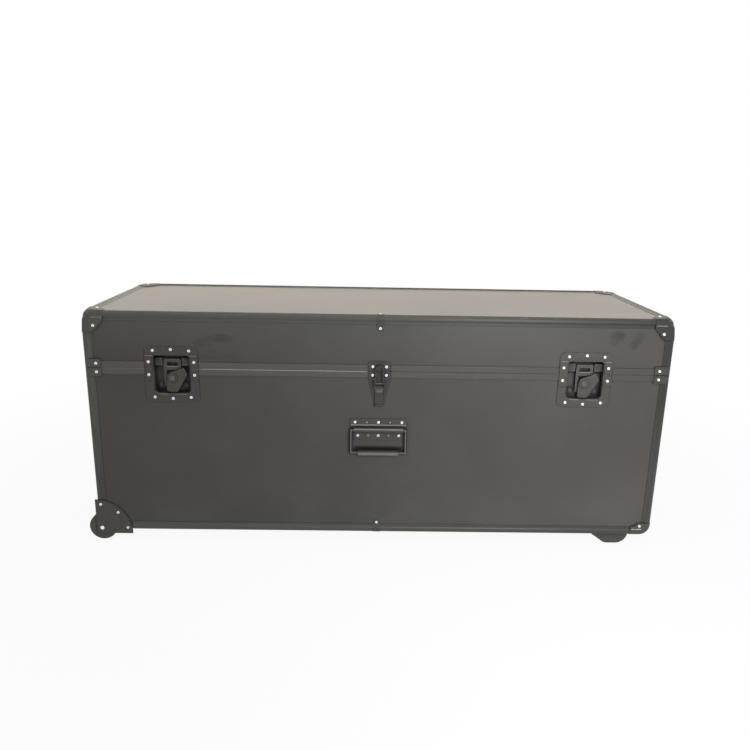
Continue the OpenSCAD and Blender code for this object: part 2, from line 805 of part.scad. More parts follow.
module handle_bail() {
    a = handle_w / 2 - 3;
    translate([0, -pivot_n, 0]) {
        for (s = [0, 1]) mirror([s, 0, 0]) {
            translate([a - 15, 0, 0]) rotate([0, 90, 0]) cylinder(r = 3, h = 15);
            translate([a, 0, 0]) sphere(3);
            translate([a, 0, -bail_drop]) cylinder(r = 3, h = bail_drop);
            translate([a, 0, -bail_drop]) sphere(3);
        }
        translate([-a, 0, -bail_drop]) rotate([0, 90, 0]) cylinder(r = 3, h = 2 * a);
    }
}
module handle_grip() {
    translate([-42, -pivot_n, -bail_drop]) rotate([0, 90, 0]) difference() {
        cylinder(r = grip_r, h = 84);
        translate([0, 0, -1]) cylinder(r = 3, h = 86);
    }
}
module handle_plate_front() {
    color([0.15, 0.15, 0.15]) on_front(0, z0 + handle_h) handle_plate();
}
module handle_plate_end() {
    color([0.15, 0.15, 0.15]) on_right(0, z0 + handle_h) handle_plate();
}
module handle_bail_front() {
    color([0.14, 0.14, 0.14]) on_front(0, z0 + handle_h) handle_bail();
}
module handle_bail_end() {
    color([0.14, 0.14, 0.14]) on_right(0, z0 + handle_h) handle_bail();
}
module handle_grip_front() {
    color([0.09, 0.09, 0.09]) on_front(0, z0 + handle_h) handle_grip();
}
module handle_grip_end() {
    color([0.09, 0.09, 0.09]) on_right(0, z0 + handle_h) handle_grip();
}

// Hinge leaves: outer knuckles on the base, middle knuckle on the lid.
leaf_base_pts = [[-25, -20], [25, -20], [-25, -48], [25, -48]];
leaf_lid_pts = [[-25, 18], [25, 18], [-25, 36], [25, 36]];
module hinge_leaf_base() {
    a = hinge_w / 2;
    difference() {
        union() {
            plate(0, 1.8) difference() {
                round_rect(-a, -58, a, 8, 5);
                translate([-60, -0.6]) square([120, 20]);
                translate([-12.2, -6.2]) square([24.4, 20]);
            }
            for (x = [-a, 12]) translate([x, -hinge_e, 0]) {
                rotate([0, 90, 0]) cylinder(r = knuckle_r, h = a - 12);
                translate([0, 0, -3.9]) cube([a - 12, hinge_e, 3.3]);
            }
        }
        translate([-60, -hinge_e, 0]) rotate([0, 90, 0]) cylinder(r = pin_r, h = 120);
        holes(leaf_base_pts);
    }
}
module hinge_leaf_lid() {
    a = hinge_w / 2;
    difference() {
        union() {
            plate(0, 1.8) difference() {
                round_rect(-a, -8, a, 46, 5);
                translate([-60, -19.4]) square([120, 20]);
                for (x = [-60, 11.4]) translate([x, -13.8]) square([48.6, 20]);
            }
            translate([-11.5, -hinge_e, 0]) {
                rotate([0, 90, 0]) cylinder(r = knuckle_r, h = 23);
                translate([0, 0, 0.6]) cube([23, hinge_e, 3.3]);
            }
        }
        translate([-60, -hinge_e, 0]) rotate([0, 90, 0]) cylinder(r = pin_r + 0.05, h = 120);
        holes(leaf_lid_pts);
    }
}
module hinge_pin() {
    a = hinge_w / 2;
    translate([-a - 1, -hinge_e, 0]) rotate([0, 90, 0]) cylinder(r = pin_r, h = 2 * a + 2);
}
module hinge_leaf_base_left() {
    color([0.2, 0.2, 0.2]) on_back(-hinge_x, zp) hinge_leaf_base();
}
module hinge_leaf_base_right() {
    color([0.2, 0.2, 0.2]) on_back(hinge_x, zp) hinge_leaf_base();
}
module hinge_leaf_lid_left() {
    color([0.2, 0.2, 0.2]) on_back(-hinge_x, zp) hinge_leaf_lid();
}
module hinge_leaf_lid_right() {
    color([0.2, 0.2, 0.2]) on_back(hinge_x, zp) hinge_leaf_lid();
}
module hinge_pin_left() {
    color([0.5, 0.5, 0.5]) on_back(-hinge_x, zp) hinge_pin();
}
module hinge_pin_right() {
    color([0.5, 0.5, 0.5]) on_back(hinge_x, zp) hinge_pin();
}

// Rivets of a corner cap, one on each face, about the cap corner.
module cap_rivets(z) {
    translate([cap_rivet_x, -0.8, z]) rivet(3.9);
    translate([-0.8, cap_rivet_x, z]) rotate([0, 0, -90]) rivet(3.9);
    translate([cap_rivet_x, 30, -0.8]) rotate([90, 0, 0]) rivet(3.9);
}
module brace_rivets(z) {
    for (sx = [-1, 1], sy = [-1, 1]) translate([sx * hw, sy * hd, zp + z])
        mirror([sx > 0 ? 1 : 0, 0, 0]) mirror([0, sy > 0 ? 1 : 0, 0]) {
            translate([24, 0, 0]) rivet(1.75);
            translate([0, 24, 0]) rotate([0, 0, -90]) rivet(1.75);
        }
}

module base_rivets() {
    color([0.85, 0.85, 0.84]) {
        for (s = [-1, 1]) {
            on_front(s * latch_x, zp) rivets(tray_pts, tray_t);
            on_front(s * latch_x, zp) rivets(tray_side_pts, tray_t + pad_t);
            on_back(s * hinge_x, zp) rivets(leaf_base_pts, 1.8);
            at_corner(1, s, false) cap_rivets(low_rivet_z);
        }
        on_front(0, zp) rivets(catch_pts, 1.6);
        on_front(0, z0 + handle_h) rivets(handle_pts, 1.6);
        on_right(0, z0 + handle_h) rivets(handle_pts, 1.6);
        on_front(0, z0 + low_mid_rivet) rivet(5);
        for (s = [0, 1]) mirror([0, s, 0]) on_front(0, 0) rivets(bracket_pts, rail_t);
        brace_rivets(-9);
    }
}

module lid_rivets() {
    color([0.85, 0.85, 0.84]) {
        for (s = [-1, 1]) {
            on_front(s * latch_x, zp) rivets(keeper_pts, tray_t);
            on_front(s * latch_x, zp) rivets(keeper_side_pts, tray_t + pad_t);
            on_back(s * hinge_x, zp) rivets(leaf_lid_pts, 1.8);
        }
        on_front(0, zp) rivets(strike_pts, 1.6);
        on_front(0, z1 - top_mid_rivet) rivet(5);
        for (sx = [-1, 1], sy = [-1, 1]) at_corner(sx, sy, true) cap_rivets(top_rivet_z);
        brace_rivets(9);
    }
}

module lid_left_panel() {
    lid_end_panel(-fx);
}
module lid_right_panel() {
    lid_end_panel(ix);
}

base_front_panel();
base_back_panel();
base_left_panel();
base_right_panel();
base_bottom_panel();
base_bottom_rails();
base_corner_posts();
base_rim_groove();
base_corner_caps();
base_rim_braces();
wheel_bracket_front();
wheel_bracket_back();
wheel_axle_front();
wheel_axle_back();
foot_front();
foot_back();
latch_tray_left();
latch_tray_right();
latch_spindle_left();
latch_spindle_right();
draw_catch_base();
draw_catch_pin();
handle_plate_front();
handle_plate_end();
hinge_leaf_base_left();
hinge_leaf_base_right();
hinge_pin_left();
hinge_pin_right();
base_rivets();
lid_top_panel();
lid_front_panel();
lid_back_panel();
lid_left_panel();
lid_right_panel();
lid_top_rails();
lid_corner_posts();
lid_rim_tongue();
lid_corner_caps();
lid_rim_braces();
keeper_tray_left();
keeper_tray_right();
draw_catch_strike();
hinge_leaf_lid_left();
hinge_leaf_lid_right();
lid_rivets();
wheel_tyre_front();
wheel_hub_front();
wheel_tyre_back();
wheel_hub_back();
latch_hook_left();
latch_hook_right();
latch_wing_left();
latch_wing_right();
draw_catch_lever();
draw_catch_loop();
draw_catch_loop_pin();
handle_bail_front();
handle_grip_front();
handle_bail_end();
handle_grip_end();
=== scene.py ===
import math
import bpy
import bmesh
from mathutils import Matrix, Vector


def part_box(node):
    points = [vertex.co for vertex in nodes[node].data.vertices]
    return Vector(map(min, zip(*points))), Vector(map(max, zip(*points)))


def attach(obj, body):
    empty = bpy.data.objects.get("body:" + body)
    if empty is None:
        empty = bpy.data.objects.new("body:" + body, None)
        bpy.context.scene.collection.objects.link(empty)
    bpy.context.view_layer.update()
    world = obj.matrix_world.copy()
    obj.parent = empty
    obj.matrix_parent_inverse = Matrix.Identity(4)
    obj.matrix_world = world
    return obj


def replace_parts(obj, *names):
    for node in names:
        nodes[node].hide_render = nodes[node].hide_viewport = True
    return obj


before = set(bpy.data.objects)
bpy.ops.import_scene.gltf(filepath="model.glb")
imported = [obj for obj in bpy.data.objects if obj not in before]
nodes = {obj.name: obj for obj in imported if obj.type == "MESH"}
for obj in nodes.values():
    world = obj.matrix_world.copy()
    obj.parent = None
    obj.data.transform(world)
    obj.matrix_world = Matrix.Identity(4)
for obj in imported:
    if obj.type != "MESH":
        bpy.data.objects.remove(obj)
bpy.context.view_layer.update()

scene = bpy.context.scene
scene.view_settings.view_transform = "Standard"

# The viewpoint: a hand-held shot from in front of the trunk, a little left of its middle and above
# the lid, looking down on it. Lens and place come from the case's own edges and rivets.
focal_px = 699.2
frame_px = 750.0
yaw = math.radians(1.036)
pitch = math.radians(15.19)
roll = math.radians(-1.103)
eye = Vector((-0.0342, -1.5841, 0.7560))
ahead = Vector((math.sin(yaw) * math.cos(pitch), math.cos(yaw) * math.cos(pitch), -math.sin(pitch)))
level = Vector((math.cos(yaw), -math.sin(yaw), 0.0))
drop = ahead.cross(level)
right = level * math.cos(roll) + drop * math.sin(roll)
down = drop * math.cos(roll) - level * math.sin(roll)


def placed(name, contents):
    """A new object at the origin that holds a mesh, a lamp or the camera."""
    holder = bpy.data.objects.new(name, contents)
    scene.collection.objects.link(holder)
    return holder


lens = bpy.data.cameras.new("viewpoint")
lens.sensor_fit = "HORIZONTAL"
lens.sensor_width = 36.0
lens.lens = lens.sensor_width * focal_px / frame_px
lens.clip_start = 0.05
lens.clip_end = 60.0
viewpoint = placed("viewpoint", lens)
viewpoint.matrix_world = Matrix.Translation(eye) @ Matrix((right, -down, -ahead)).transposed().to_4x4()
scene.camera = viewpoint

# The room: a white floor that runs into a white surround. A window on the right lights that end of
# the front more than the other, and a warm sky behind the trunk lies as a sheen on its lid.
white = (1.0, 1.0, 1.0, 1.0)
room_light = 0.25
floor_reach = 14.0
floor_shade = (0.88, 0.88, 0.88, 1.0)
floor_glow = 0.93
shadow_from = 0.6
shadow_to = 1.8


class Tone:
    """A socket that works in sums; make() adds any node to the same tree."""

    def __init__(self, tree, socket=None):
        self.tree = tree
        self.socket = socket

    def make(self, kind, settings=None, sockets=None, out=0):
        """Adds a node: its settings first, then its values and links; None leaves a socket alone."""
        node = self.tree.nodes.new(kind)
        for key, value in (settings or {}).items():
            if key == "stops":
                ramp = node.color_ramp.elements
                while len(ramp) < len(value):
                    ramp.new(0.5)
                for stop, (place, shade) in zip(ramp, value):
                    stop.position = place
                    stop.color = shade
            else:
                setattr(node, key, value)
        for key, value in (sockets or {}).items():
            if isinstance(value, Tone):
                self.tree.links.new(value.socket, node.inputs[key])
            elif value is not None:
                node.inputs[key].default_value = value
        return Tone(self.tree, node.outputs[out] if node.outputs else None)

    def maths(self, operation, first, second=0.0):
        return self.make("ShaderNodeMath", {"operation": operation}, {0: first, 1: second})

    def __add__(self, other):
        return self.maths("ADD", self, other)

    __radd__ = __add__

    def __sub__(self, other):
        return self.maths("SUBTRACT", self, other)

    def __rsub__(self, other):
        return self.maths("SUBTRACT", other, self)

    def __mul__(self, other):
        return self.maths("MULTIPLY", self, other)

    __rmul__ = __mul__

    def __truediv__(self, other):
        return self.maths("DIVIDE", self, other)

    def __pow__(self, other):
        return self.maths("POWER", self, other)

    def __abs__(self):
        return self.maths("ABSOLUTE", self)

    def __lt__(self, other):
        return self.maths("LESS_THAN", self, other)

    def __gt__(self, other):
        return self.maths("GREATER_THAN", self, other)

    def high(self, other):
        return self.maths("MAXIMUM", self, other)

    def rise(self, start, end):
        return self.make("ShaderNodeMapRange", {"interpolation_type": "SMOOTHSTEP"},
                         {"Value": self, "From Min": start, "From Max": end})

    def noise(self, place, scale, detail=2.0, rough=0.5):
        return self.make("ShaderNodeTexNoise", {}, {"Vector": place, "Scale": scale, "Detail": detail,
                                                    "Roughness": rough})

    def mixed(self, share, under, over):
        return self.make("ShaderNodeMix", {"data_type": "RGBA"}, {0: share, 6: under, 7: over}, out=2)

    def split(self, place):
        return [self.make("ShaderNodeSeparateXYZ", {}, {0: place}, out=i) for i in range(3)]

    def in_plain_sight(self):
        """One for what the camera sees, also by a glossy reflection or through glass."""
        camera, glossy, through = (self.make("ShaderNodeLightPath", out=i) for i in (0, 3, 6))
        return camera.high(glossy).high(through)


def new_finish(name):
    finish = bpy.data.materials.new(name)
    finish.use_nodes = True
    finish.node_tree.nodes.clear()
    return finish, Tone(finish.node_tree)


white_room = bpy.data.worlds.new("white_room")
white_room.use_nodes = True
white_room.node_tree.nodes.clear()
r = Tone(white_room.node_tree)
brightness = r.in_plain_sight() * (1.0 - room_light) + room_light
surround = r.make("ShaderNodeBackground", {}, {"Color": white, "Strength": brightness})
r.make("ShaderNodeOutputWorld", {}, {"Surface": surround})
scene.world = white_room

floor_finish, f = new_finish("white_floor")
x, y, z = f.split(f.make("ShaderNodeTexCoord", out=3))
away = (x * x + y * y) ** 0.5
bounce = f.make("ShaderNodeBsdfDiffuse", {}, {"Color": floor_shade})
glow = f.make("ShaderNodeEmission", {}, {"Color": white, "Strength": 1.0})
glowing = f.in_plain_sight() * (floor_glow + away.rise(shadow_from, shadow_to) * (1.0 - floor_glow))
laid = f.make("ShaderNodeMixShader", {}, {0: glowing, 1: bounce, 2: glow})
f.make("ShaderNodeOutputMaterial", {}, {"Surface": laid})
floor_mesh = bpy.data.meshes.new("floor")
floor_corners = [(-floor_reach, -floor_reach, 0), (floor_reach, -floor_reach, 0),
                 (floor_reach, floor_reach, 0), (-floor_reach, floor_reach, 0)]
floor_mesh.from_pydata(floor_corners, [], [(0, 1, 2, 3)])
floor_mesh.materials.append(floor_finish)
floor = placed("floor", floor_mesh)


def soft_lamp(name, place, target, size, power, colour):
    """A rectangular lamp that faces its target and isn't seen itself."""
    lamp = bpy.data.lights.new(name, "AREA")
    lamp.shape = "RECTANGLE"
    lamp.size, lamp.size_y = size
    lamp.energy = power
    lamp.color = colour
    holder = placed(name, lamp)
    holder.location = place
    holder.rotation_euler = (Vector(target) - Vector(place)).to_track_quat("-Z", "Y").to_euler()
    holder.visible_camera = False


soft_lamp("window_right", place=(0.46, -1.12, 0.68), target=(0.50, -0.20, 0.30), size=(0.3, 0.6),
          power=8.2, colour=white[:3])
soft_lamp("ceiling", place=(0.2, -0.8, 3.0), target=(0.0, -0.5, 0.0), size=(3.0, 1.0),
          power=24.0, colour=(1.0, 0.97, 0.92))
soft_lamp("sky_behind", place=(0.1, 3.2, 1.7), target=(0.0, 0.0, 0.5), size=(4.6, 1.4),
          power=35.5, colour=(1.0, 0.85, 0.68))

# Panels: plywood boards faced outside with dark grey, finely pebbled laminate, and bare birch
# inside. They slot into the edge rails; hands have left dull marks where the lid is lifted.
face_depth = 0.0015
face_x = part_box("base_right_panel")[1].x - face_depth
face_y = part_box("base_back_panel")[1].y - face_depth
face_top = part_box("lid_top_panel")[1].z - face_depth
face_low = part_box("base_bottom_panel")[0].z + face_depth
bracket_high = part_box("wheel_bracket_front")[1]
bracket_margin = 0.012
# Where the painted shadow behind each grip lies on the panels.
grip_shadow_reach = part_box("handle_plate_front")[1].x - 0.007
grip_shadow_edge = grip_shadow_reach - 0.006
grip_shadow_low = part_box("handle_grip_front")[1].z - 0.0055
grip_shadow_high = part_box("handle_grip_front")[1].z + 0.0075
dust_height = 0.12
paler_lid = (0.39, 0.50)
paler_corner_x = (0.25, 0.55)
paler_corner_z = (0.10, 0.25)
# Each mark: its place across and up, half its width and height, and how strong it is.
hand_marks = ((0.483, 0.469, 0.020, 0.014, 1.00), (0.478, 0.457, 0.012, 0.012, 0.65),
              (0.528, 0.464, 0.012, 0.016, 0.80), (0.518, 0.450, 0.012, 0.012, 0.90),
              (-0.326, 0.452, 0.036, 0.012, 0.60), (-0.360, 0.441, 0.024, 0.014, 0.50),
              (-0.343, 0.417, 0.038, 0.013, 0.50), (-0.303, 0.412, 0.028, 0.013, 0.45),
              (-0.200, 0.150, 0.260, 0.110, 0.12), (0.330, 0.200, 0.200, 0.120, 0.10))


def shade_of(r, g, b, lift=1.0):
    """A colour as seen, in 0 to 255, turned into the linear light that shaders use."""
    seen = (c * lift / 255.0 for c in (r, g, b))
    return (*(c / 12.92 if c <= 0.04045 else ((c + 0.055) / 1.055) ** 2.4 for c in seen), 1.0)


# Near-black for painted shade in crevices and behind the grips.
painted_shade_colour = shade_of(22, 21, 20)


def painted_crevice_shade(f, z, reach, depth, full=0.70):
    """Painted shade where two pieces meet or a hole is deep, from the occlusion around a point; it is kept
    faint on the top of the lid.
    """
    open_sky = f.make("ShaderNodeAmbientOcclusion", {"samples": 6}, {"Distance": reach}, out=1)
    return (1.0 - open_sky).rise(0.14, full) * (1.0 - (z > face_top) * 0.8) * depth


def relief(f, strength, depth, height, soft=None):
    """Fine relief over a surface, laid on its softened edges where it has them."""
    return f.make("ShaderNodeBump", {}, {"Strength": strength, "Distance": depth, "Height": height,
                                         "Normal": soft})


def surface(f, tint, rough, texture=None, shine=0.5, metal=0.0):
    """Ends a finish in its one surface shader."""
    skin = f.make("ShaderNodeBsdfPrincipled", {}, {"Base Color": tint, "Roughness": rough, "Metallic": metal,
                                                   "Specular IOR Level": shine, "Normal": texture})
    f.make("ShaderNodeOutputMaterial", {}, {"Surface": skin})


def dress(finish, *names):
    for name in names:
        nodes[name].data.materials.clear()
        nodes[name].data.materials.append(finish)


laminate, f = new_finish("dark_laminate")
place = f.make("ShaderNodeTexCoord", out=3)
x, y, z = f.split(place)
on_front = y < -face_y
on_end = x > face_x
face = (abs(x) > face_x).high(abs(y) > face_y).high(z > face_top).high(z < face_low)
cloud = f.noise(place, 5.0, 4.0, 0.55)
pebble = f.noise(place, 700.0)
fleck = f.make("ShaderNodeTexVoronoi", {}, {"Vector": place, "Scale": 420.0})
handled = f.noise(place, 30.0, 5.0, 0.65)
spots = []
for mark_x, mark_z, wide, tall, strong in hand_marks:
    reach = ((x - mark_x) / wide) ** 2.0 + ((z - mark_z) / tall) ** 2.0
    spots.append((1.0 - reach.rise(0.15, 1.0)) * strong)
marks = spots[0]
for spot in spots[1:]:
    marks = marks.high(spot)
marks = marks * (0.35 + handled.rise(0.34, 0.60) * 0.65) * on_front
# Painted shadow: a near-black band on the panel just above and behind each grip.
beside_grip = (on_front * (1.0 - abs(x).rise(grip_shadow_edge, grip_shadow_reach))).high(
    on_end * (1.0 - abs(y).rise(grip_shadow_edge, grip_shadow_reach)))
painted_grip_shadow = z.rise(grip_shadow_low, grip_shadow_low + 0.003) * (1.0 - z.rise(grip_shadow_high - 0.004, grip_shadow_high)) * beside_grip
streak_place = f.make("ShaderNodeMapping", {}, {"Vector": place, "Scale": (9.0, 9.0, 210.0),
                                                "Rotation": (0.0, 0.3, 0.0)})
scuffs = f.noise(streak_place, 1.0, 3.0).rise(0.71, 0.78)
dust = (1.0 - z.rise(face_low, face_low + dust_height)) * cloud.rise(0.35, 0.7)
# Painted light: the lid is paler up its front, most at the left end. The base is also paler towards its lower
# right corner.
paler_and_painted_light = z.rise(*paler_lid) * (0.24 - x.rise(-face_x, face_x) * 0.20)
paler_and_painted_light = paler_and_painted_light + x.rise(*paler_corner_x) * (1.0 - z.rise(*paler_corner_z)) * 0.14
by_wheel = (x < bracket_high.x + bracket_margin) * (z < bracket_high.z + bracket_margin)
tint = f.mixed(cloud.rise(0.25, 0.75), shade_of(74, 73, 69), shade_of(81, 80, 77))
tint = f.mixed(fleck * 0.22, tint, shade_of(62, 61, 58))
tint = f.mixed(paler_and_painted_light, tint, shade_of(112, 111, 108))
tint = f.mixed(marks * 0.7, tint, shade_of(52, 51, 48))
tint = f.mixed(scuffs * 0.05 + dust * 0.07, tint, shade_of(140, 137, 130))
tint = f.mixed(painted_grip_shadow * 0.85, tint, painted_shade_colour)
# Painted shade in the crevices, kept light beside the wheel brackets.
tint = f.mixed(painted_crevice_shade(f, z, 0.011, 0.85) * (1.0 - by_wheel * 0.7), tint, painted_shade_colour)
grain_place = f.make("ShaderNodeMapping", {}, {"Vector": place, "Scale": (4.0, 130.0, 130.0)})
grain = f.make("ShaderNodeTexNoise", {}, {"Vector": grain_place, "Scale": 1.0, "Detail": 6.0,
                                          "Distortion": 1.2})
birch_tones = [(0.3, shade_of(190, 162, 122)), (0.5, shade_of(210, 186, 148)),
               (0.72, shade_of(224, 204, 170))]
birch = f.make("ShaderNodeValToRGB", {"stops": birch_tones}, {0: grain})
height = face * (pebble * 0.7 + fleck * 0.3) + (1.0 - face) * grain * 0.5
sheen = face * (0.36 + cloud * 0.08 + marks * 0.2 - scuffs * 0.03) + (1.0 - face) * 0.62
surface(f, f.mixed(face, birch, tint), sheen, relief(f, 0.3, 0.0002, height), shine=0.25)
dress(laminate, *[n for n in nodes if n.endswith("_panel")])

# Edge rails and corner posts: aluminium angle extrusions with a thick outer bead and a thin inner
# lip, anodised black. Fine die lines run along them, and their outer corners are rubbed a little.
rail_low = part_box("base_bottom_rails")[0]
rail_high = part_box("lid_top_rails")[1]
rail_shade = (76, 76, 73)
rail_worn = (126, 125, 121)
corner_reach = 0.0035
bead_wide = 0.006
mitre_reach = 0.03
line_above = 0.0002
line_below = 0.0009
line_fade = 0.01
dust_and_sheen_shade = shade_of(200, 194, 182)


def rubbed_edges(f, radius, start, end):
    """How far a point lies on a sharp edge, and the softened direction of that edge."""
    soft = f.make("ShaderNodeBevel", {"samples": 4}, {"Radius": radius})
    flat = f.make("ShaderNodeNewGeometry", out=1)
    turned = f.make("ShaderNodeVectorMath", {"operation": "DOT_PRODUCT"}, {0: soft, 1: flat}, out=1)
    return (1.0 - turned).rise(start, end), soft


def dust_and_sheen_on_steps(f, x, y, z):
    """Dust and a painted sheen along the small steps that look inward over the top of the lid."""
    standing = 1.0 - abs(f.split(f.make("ShaderNodeTexCoord", out=1))[2]).rise(0.3, 0.7)
    inside = (abs(x) < rail_high.x - bead_wide) * (abs(y) < rail_high.y - bead_wide)
    return (z > face_top) * standing * inside


def extruded(name, shade, worn, rough, upright=False, painted_end_shade=0.0, highlight_line=None):
    """Anodised extrusion with die lines, painted lighter towards its left end and with painted shade at its
    ends; a painted highlight, pale as bare metal, may run along a stretch of its upper front edge.
    """
    finish, f = new_finish(name)
    place = f.make("ShaderNodeTexCoord", out=3)
    x, y, z = f.split(place)

    def die_lines(stretch):
        return f.noise(f.make("ShaderNodeMapping", {}, {"Vector": place, "Scale": stretch}), 1.0, 3.0)

    if upright:
        lines = die_lines((900.0, 900.0, 5.0))
    else:
        on_end = (abs(x) > rail_high.x - mitre_reach) * (abs(y) < rail_high.y - mitre_reach)
        lines = on_end * die_lines((900.0, 5.0, 900.0)) + (1.0 - on_end) * die_lines((5.0, 900.0, 900.0))
    patch = f.noise(place, 38.0, 5.0, 0.6)
    rub, soft = rubbed_edges(f, 0.0012, 0.03, 0.3)
    near_x = abs(x) > rail_high.x - corner_reach
    near_y = abs(y) > rail_high.y - corner_reach
    near_z = (z > rail_high.z - corner_reach).high(z < rail_low.z + corner_reach)
    corner = (near_x * near_y).high(near_x * near_z).high(near_y * near_z)
    wear = (rub * patch.rise(0.45, 0.66) * 0.45).high(corner * patch.rise(0.54, 0.72) * 0.3)
    # Painted light: lighter towards the left end and darker towards the right.
    painted_light_slope = x.rise(-rail_high.x, rail_high.x)
    # Painted shade on the right end, more towards its top, and towards the bottom of the left end.
    dull_and_shade = x.rise(0.2 * rail_high.x, rail_high.x) * z.rise(0.12, 0.40) * painted_end_shade
    dull_and_shade = dull_and_shade.high((x < -0.9 * rail_high.x) * (1.0 - z.rise(0.06, 0.36)) * painted_end_shade * 0.6)
    varied = patch * 0.2 + lines * 0.2 + painted_light_slope * 0.6
    tint = f.mixed(varied, shade_of(*shade, 1.18), shade_of(*shade, 0.80))
    tint = f.mixed(dull_and_shade, tint, shade_of(*shade, 0.4))
    tint = f.mixed(wear, tint, shade_of(*worn))
    # Painted shade in the crevices.
    tint = f.mixed(painted_crevice_shade(f, z, 0.006, 0.6), tint, painted_shade_colour)
    # Dust and a painted sheen on the small inward steps above the lid.
    tint = f.mixed(dust_and_sheen_on_steps(f, x, y, z) * 0.85, tint, dust_and_sheen_shade)
    # A painted highlight along a stretch of the upper front edge, pale as bare metal.
    if highlight_line:
        left, right, top = highlight_line
        edge = (z > top - line_below) * (z < top + line_above) * (y < -face_y)
        stretch = x.rise(left, left + line_fade) * (1.0 - x.rise(right - line_fade, right))
        painted_highlight = edge * (0.24 + stretch * (0.30 + patch * 0.45)) * (x < right)
        tint = f.mixed(painted_highlight, tint, shade_of(205, 202, 194))
    gloss = rough + patch * 0.10 + lines * 0.06 - wear * 0.1
    surface(f, tint, gloss, relief(f, 0.12, 0.0001, lines, soft), shine=0.3, metal=wear * 0.6)
    return finish


dress(extruded("black_rail", rail_shade, rail_worn, rough=0.36, painted_end_shade=0.5),
      "base_bottom_rails", "lid_top_rails")
dress(extruded("black_post", rail_shade, rail_worn, rough=0.36, upright=True, painted_end_shade=0.6),
      "base_corner_posts", "lid_corner_posts")

# Rims: a grooved extrusion closes the top edge of the base and a tongued one the lid, each with a
# low band over the panel. A painted highlight, pale as bare metal, runs along the upper front edge of
# the base rim over the stretch left of the draw catch.
rim_shade = (80, 79, 76)
rim_worn = (128, 126, 121)
rim_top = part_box("base_rim_groove")[1].z
highlight_stretch = (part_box("latch_tray_left")[1].x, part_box("draw_catch_base")[0].x, rim_top)
dress(extruded("black_base_rim", rim_shade, rim_worn, rough=0.38, highlight_line=highlight_stretch), "base_rim_groove")
dress(extruded("black_lid_rim", rim_shade, rim_worn, rough=0.38), "lid_rim_tongue")

# Corner caps and rim braces: pressed steel, black powder coat. Three-legged caps close the corners
# over the rail ends, and braces lap the rims around each upright edge.
lid_cap_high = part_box("lid_corner_caps")[1]
base_cap_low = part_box("base_corner_caps")[0]
fold_radius = 0.0088
cap_sheet = 0.0012
facet = 0.004
weld = 0.00002
# Distance from the corner along an edge, and how wide the cap is rounded there.
drawn_radii = ((0.0, 0.0205), (0.012, 0.020), (0.0205, 0.0155), (0.031, 0.0118), (0.045, fold_radius))
low_radii = ((0.0, 0.034), (0.006, 0.032), (0.012, 0.025), (0.0205, 0.0155), (0.031, 0.0118),
             (0.045, fold_radius))
rib_radius = 0.0009
rib_sunk = rib_radius * 0.4
rib_from = 0.0205
rib_to = 0.043
lid_rib_z = lid_cap_high.z - 0.0138
base_rib_z = base_cap_low.z + 0.0152


def coated_steel(name, shade, worn, rough, chips, painted_shade_share=0.9, fold=0.0012, deep=0.70, shine=0.3, dust_and_sheen=0.0,
                 painted_lighter_left=None, thumb_highlight=None, crown=None, rings=None):
    """Powder coat, rubbed paler along its edges, with a painted highlight on edges that face up and painted
    shade in the crevices.
    """
    finish, f = new_finish(name)
    place = f.make("ShaderNodeTexCoord", out=3)
    x, y, z = f.split(place)
    peel = f.noise(place, 520.0, 1.5)
    patch = f.noise(place, 120.0, 5.0, 0.65)
    rub, soft = rubbed_edges(f, fold, 0.02, 0.22)
    own_way = f.make("ShaderNodeVectorTransform", {"vector_type": "NORMAL", "convert_from": "WORLD",
                                                   "convert_to": "OBJECT"}, {"Vector": soft})
    # Painted highlight: edges that face up are paler.
    painted_up_highlight = f.split(own_way)[2].rise(0.15, 0.75)
    wear = rub * (painted_up_highlight * 0.75 + 0.25) * patch.rise(0.60 - chips, 0.80 - chips)
    # A pale patch: thumb polish and a painted highlight.
    if thumb_highlight:
        (low_x, low_z), (high_x, high_z) = thumb_highlight
        polish_and_highlight = x.rise(low_x, low_x + 0.003) * (1.0 - x.rise(high_x - 0.003, high_x))
        polish_and_highlight = polish_and_highlight * z.rise(low_z, low_z + 0.003) * (1.0 - z.rise(high_z - 0.003, high_z))
        wear = wear.high(polish_and_highlight * (0.10 + patch * 0.35))
    # Painted highlight: a pale line along the outermost face.
    if crown:
        way_x, way_y, crown_from = crown
        painted_rod_highlight = (x * way_x + y * way_y).rise(crown_from, crown_from + 0.0005)
        wear = wear.high(painted_rod_highlight * (0.5 + patch * 0.4))
    # Painted shade in the crevices.
    dirt_and_shade = painted_crevice_shade(f, z, 0.012, painted_shade_share, deep)
    # Dark painted shade rings, where given.
    if rings:
        ring_x, ring_z, radii = rings
        away = ((abs(x) - ring_x) ** 2.0 + (z - ring_z) ** 2.0) ** 0.5
        for radius in radii:
            dirt_and_shade = dirt_and_shade.high((1.0 - abs(away - radius).rise(0.0004, 0.0010)) * 0.7)
    wear = wear * (1.0 - dirt_and_shade)
    tint = f.mixed(patch, shade_of(*shade, 0.9), shade_of(*shade, 1.1))
    # Painted light: lighter towards the left end.
    if painted_lighter_left:
        tint = f.mixed(1.0 - x.rise(-rail_high.x, rail_high.x), tint, shade_of(*painted_lighter_left))
    tint = f.mixed(dirt_and_shade, tint, shade_of(16, 15, 14))
    tint = f.mixed(wear, tint, shade_of(*worn))
    # Dust and a painted sheen on the small inward steps above the lid.
    if dust_and_sheen:
        tint = f.mixed(dust_and_sheen_on_steps(f, x, y, z) * dust_and_sheen, tint, dust_and_sheen_shade)
    gloss = rough + patch * 0.12 - wear * 0.12
    surface(f, tint, gloss, relief(f, 0.2, 0.0001, peel, soft), shine=shine, metal=wear * 0.5)
    return finish


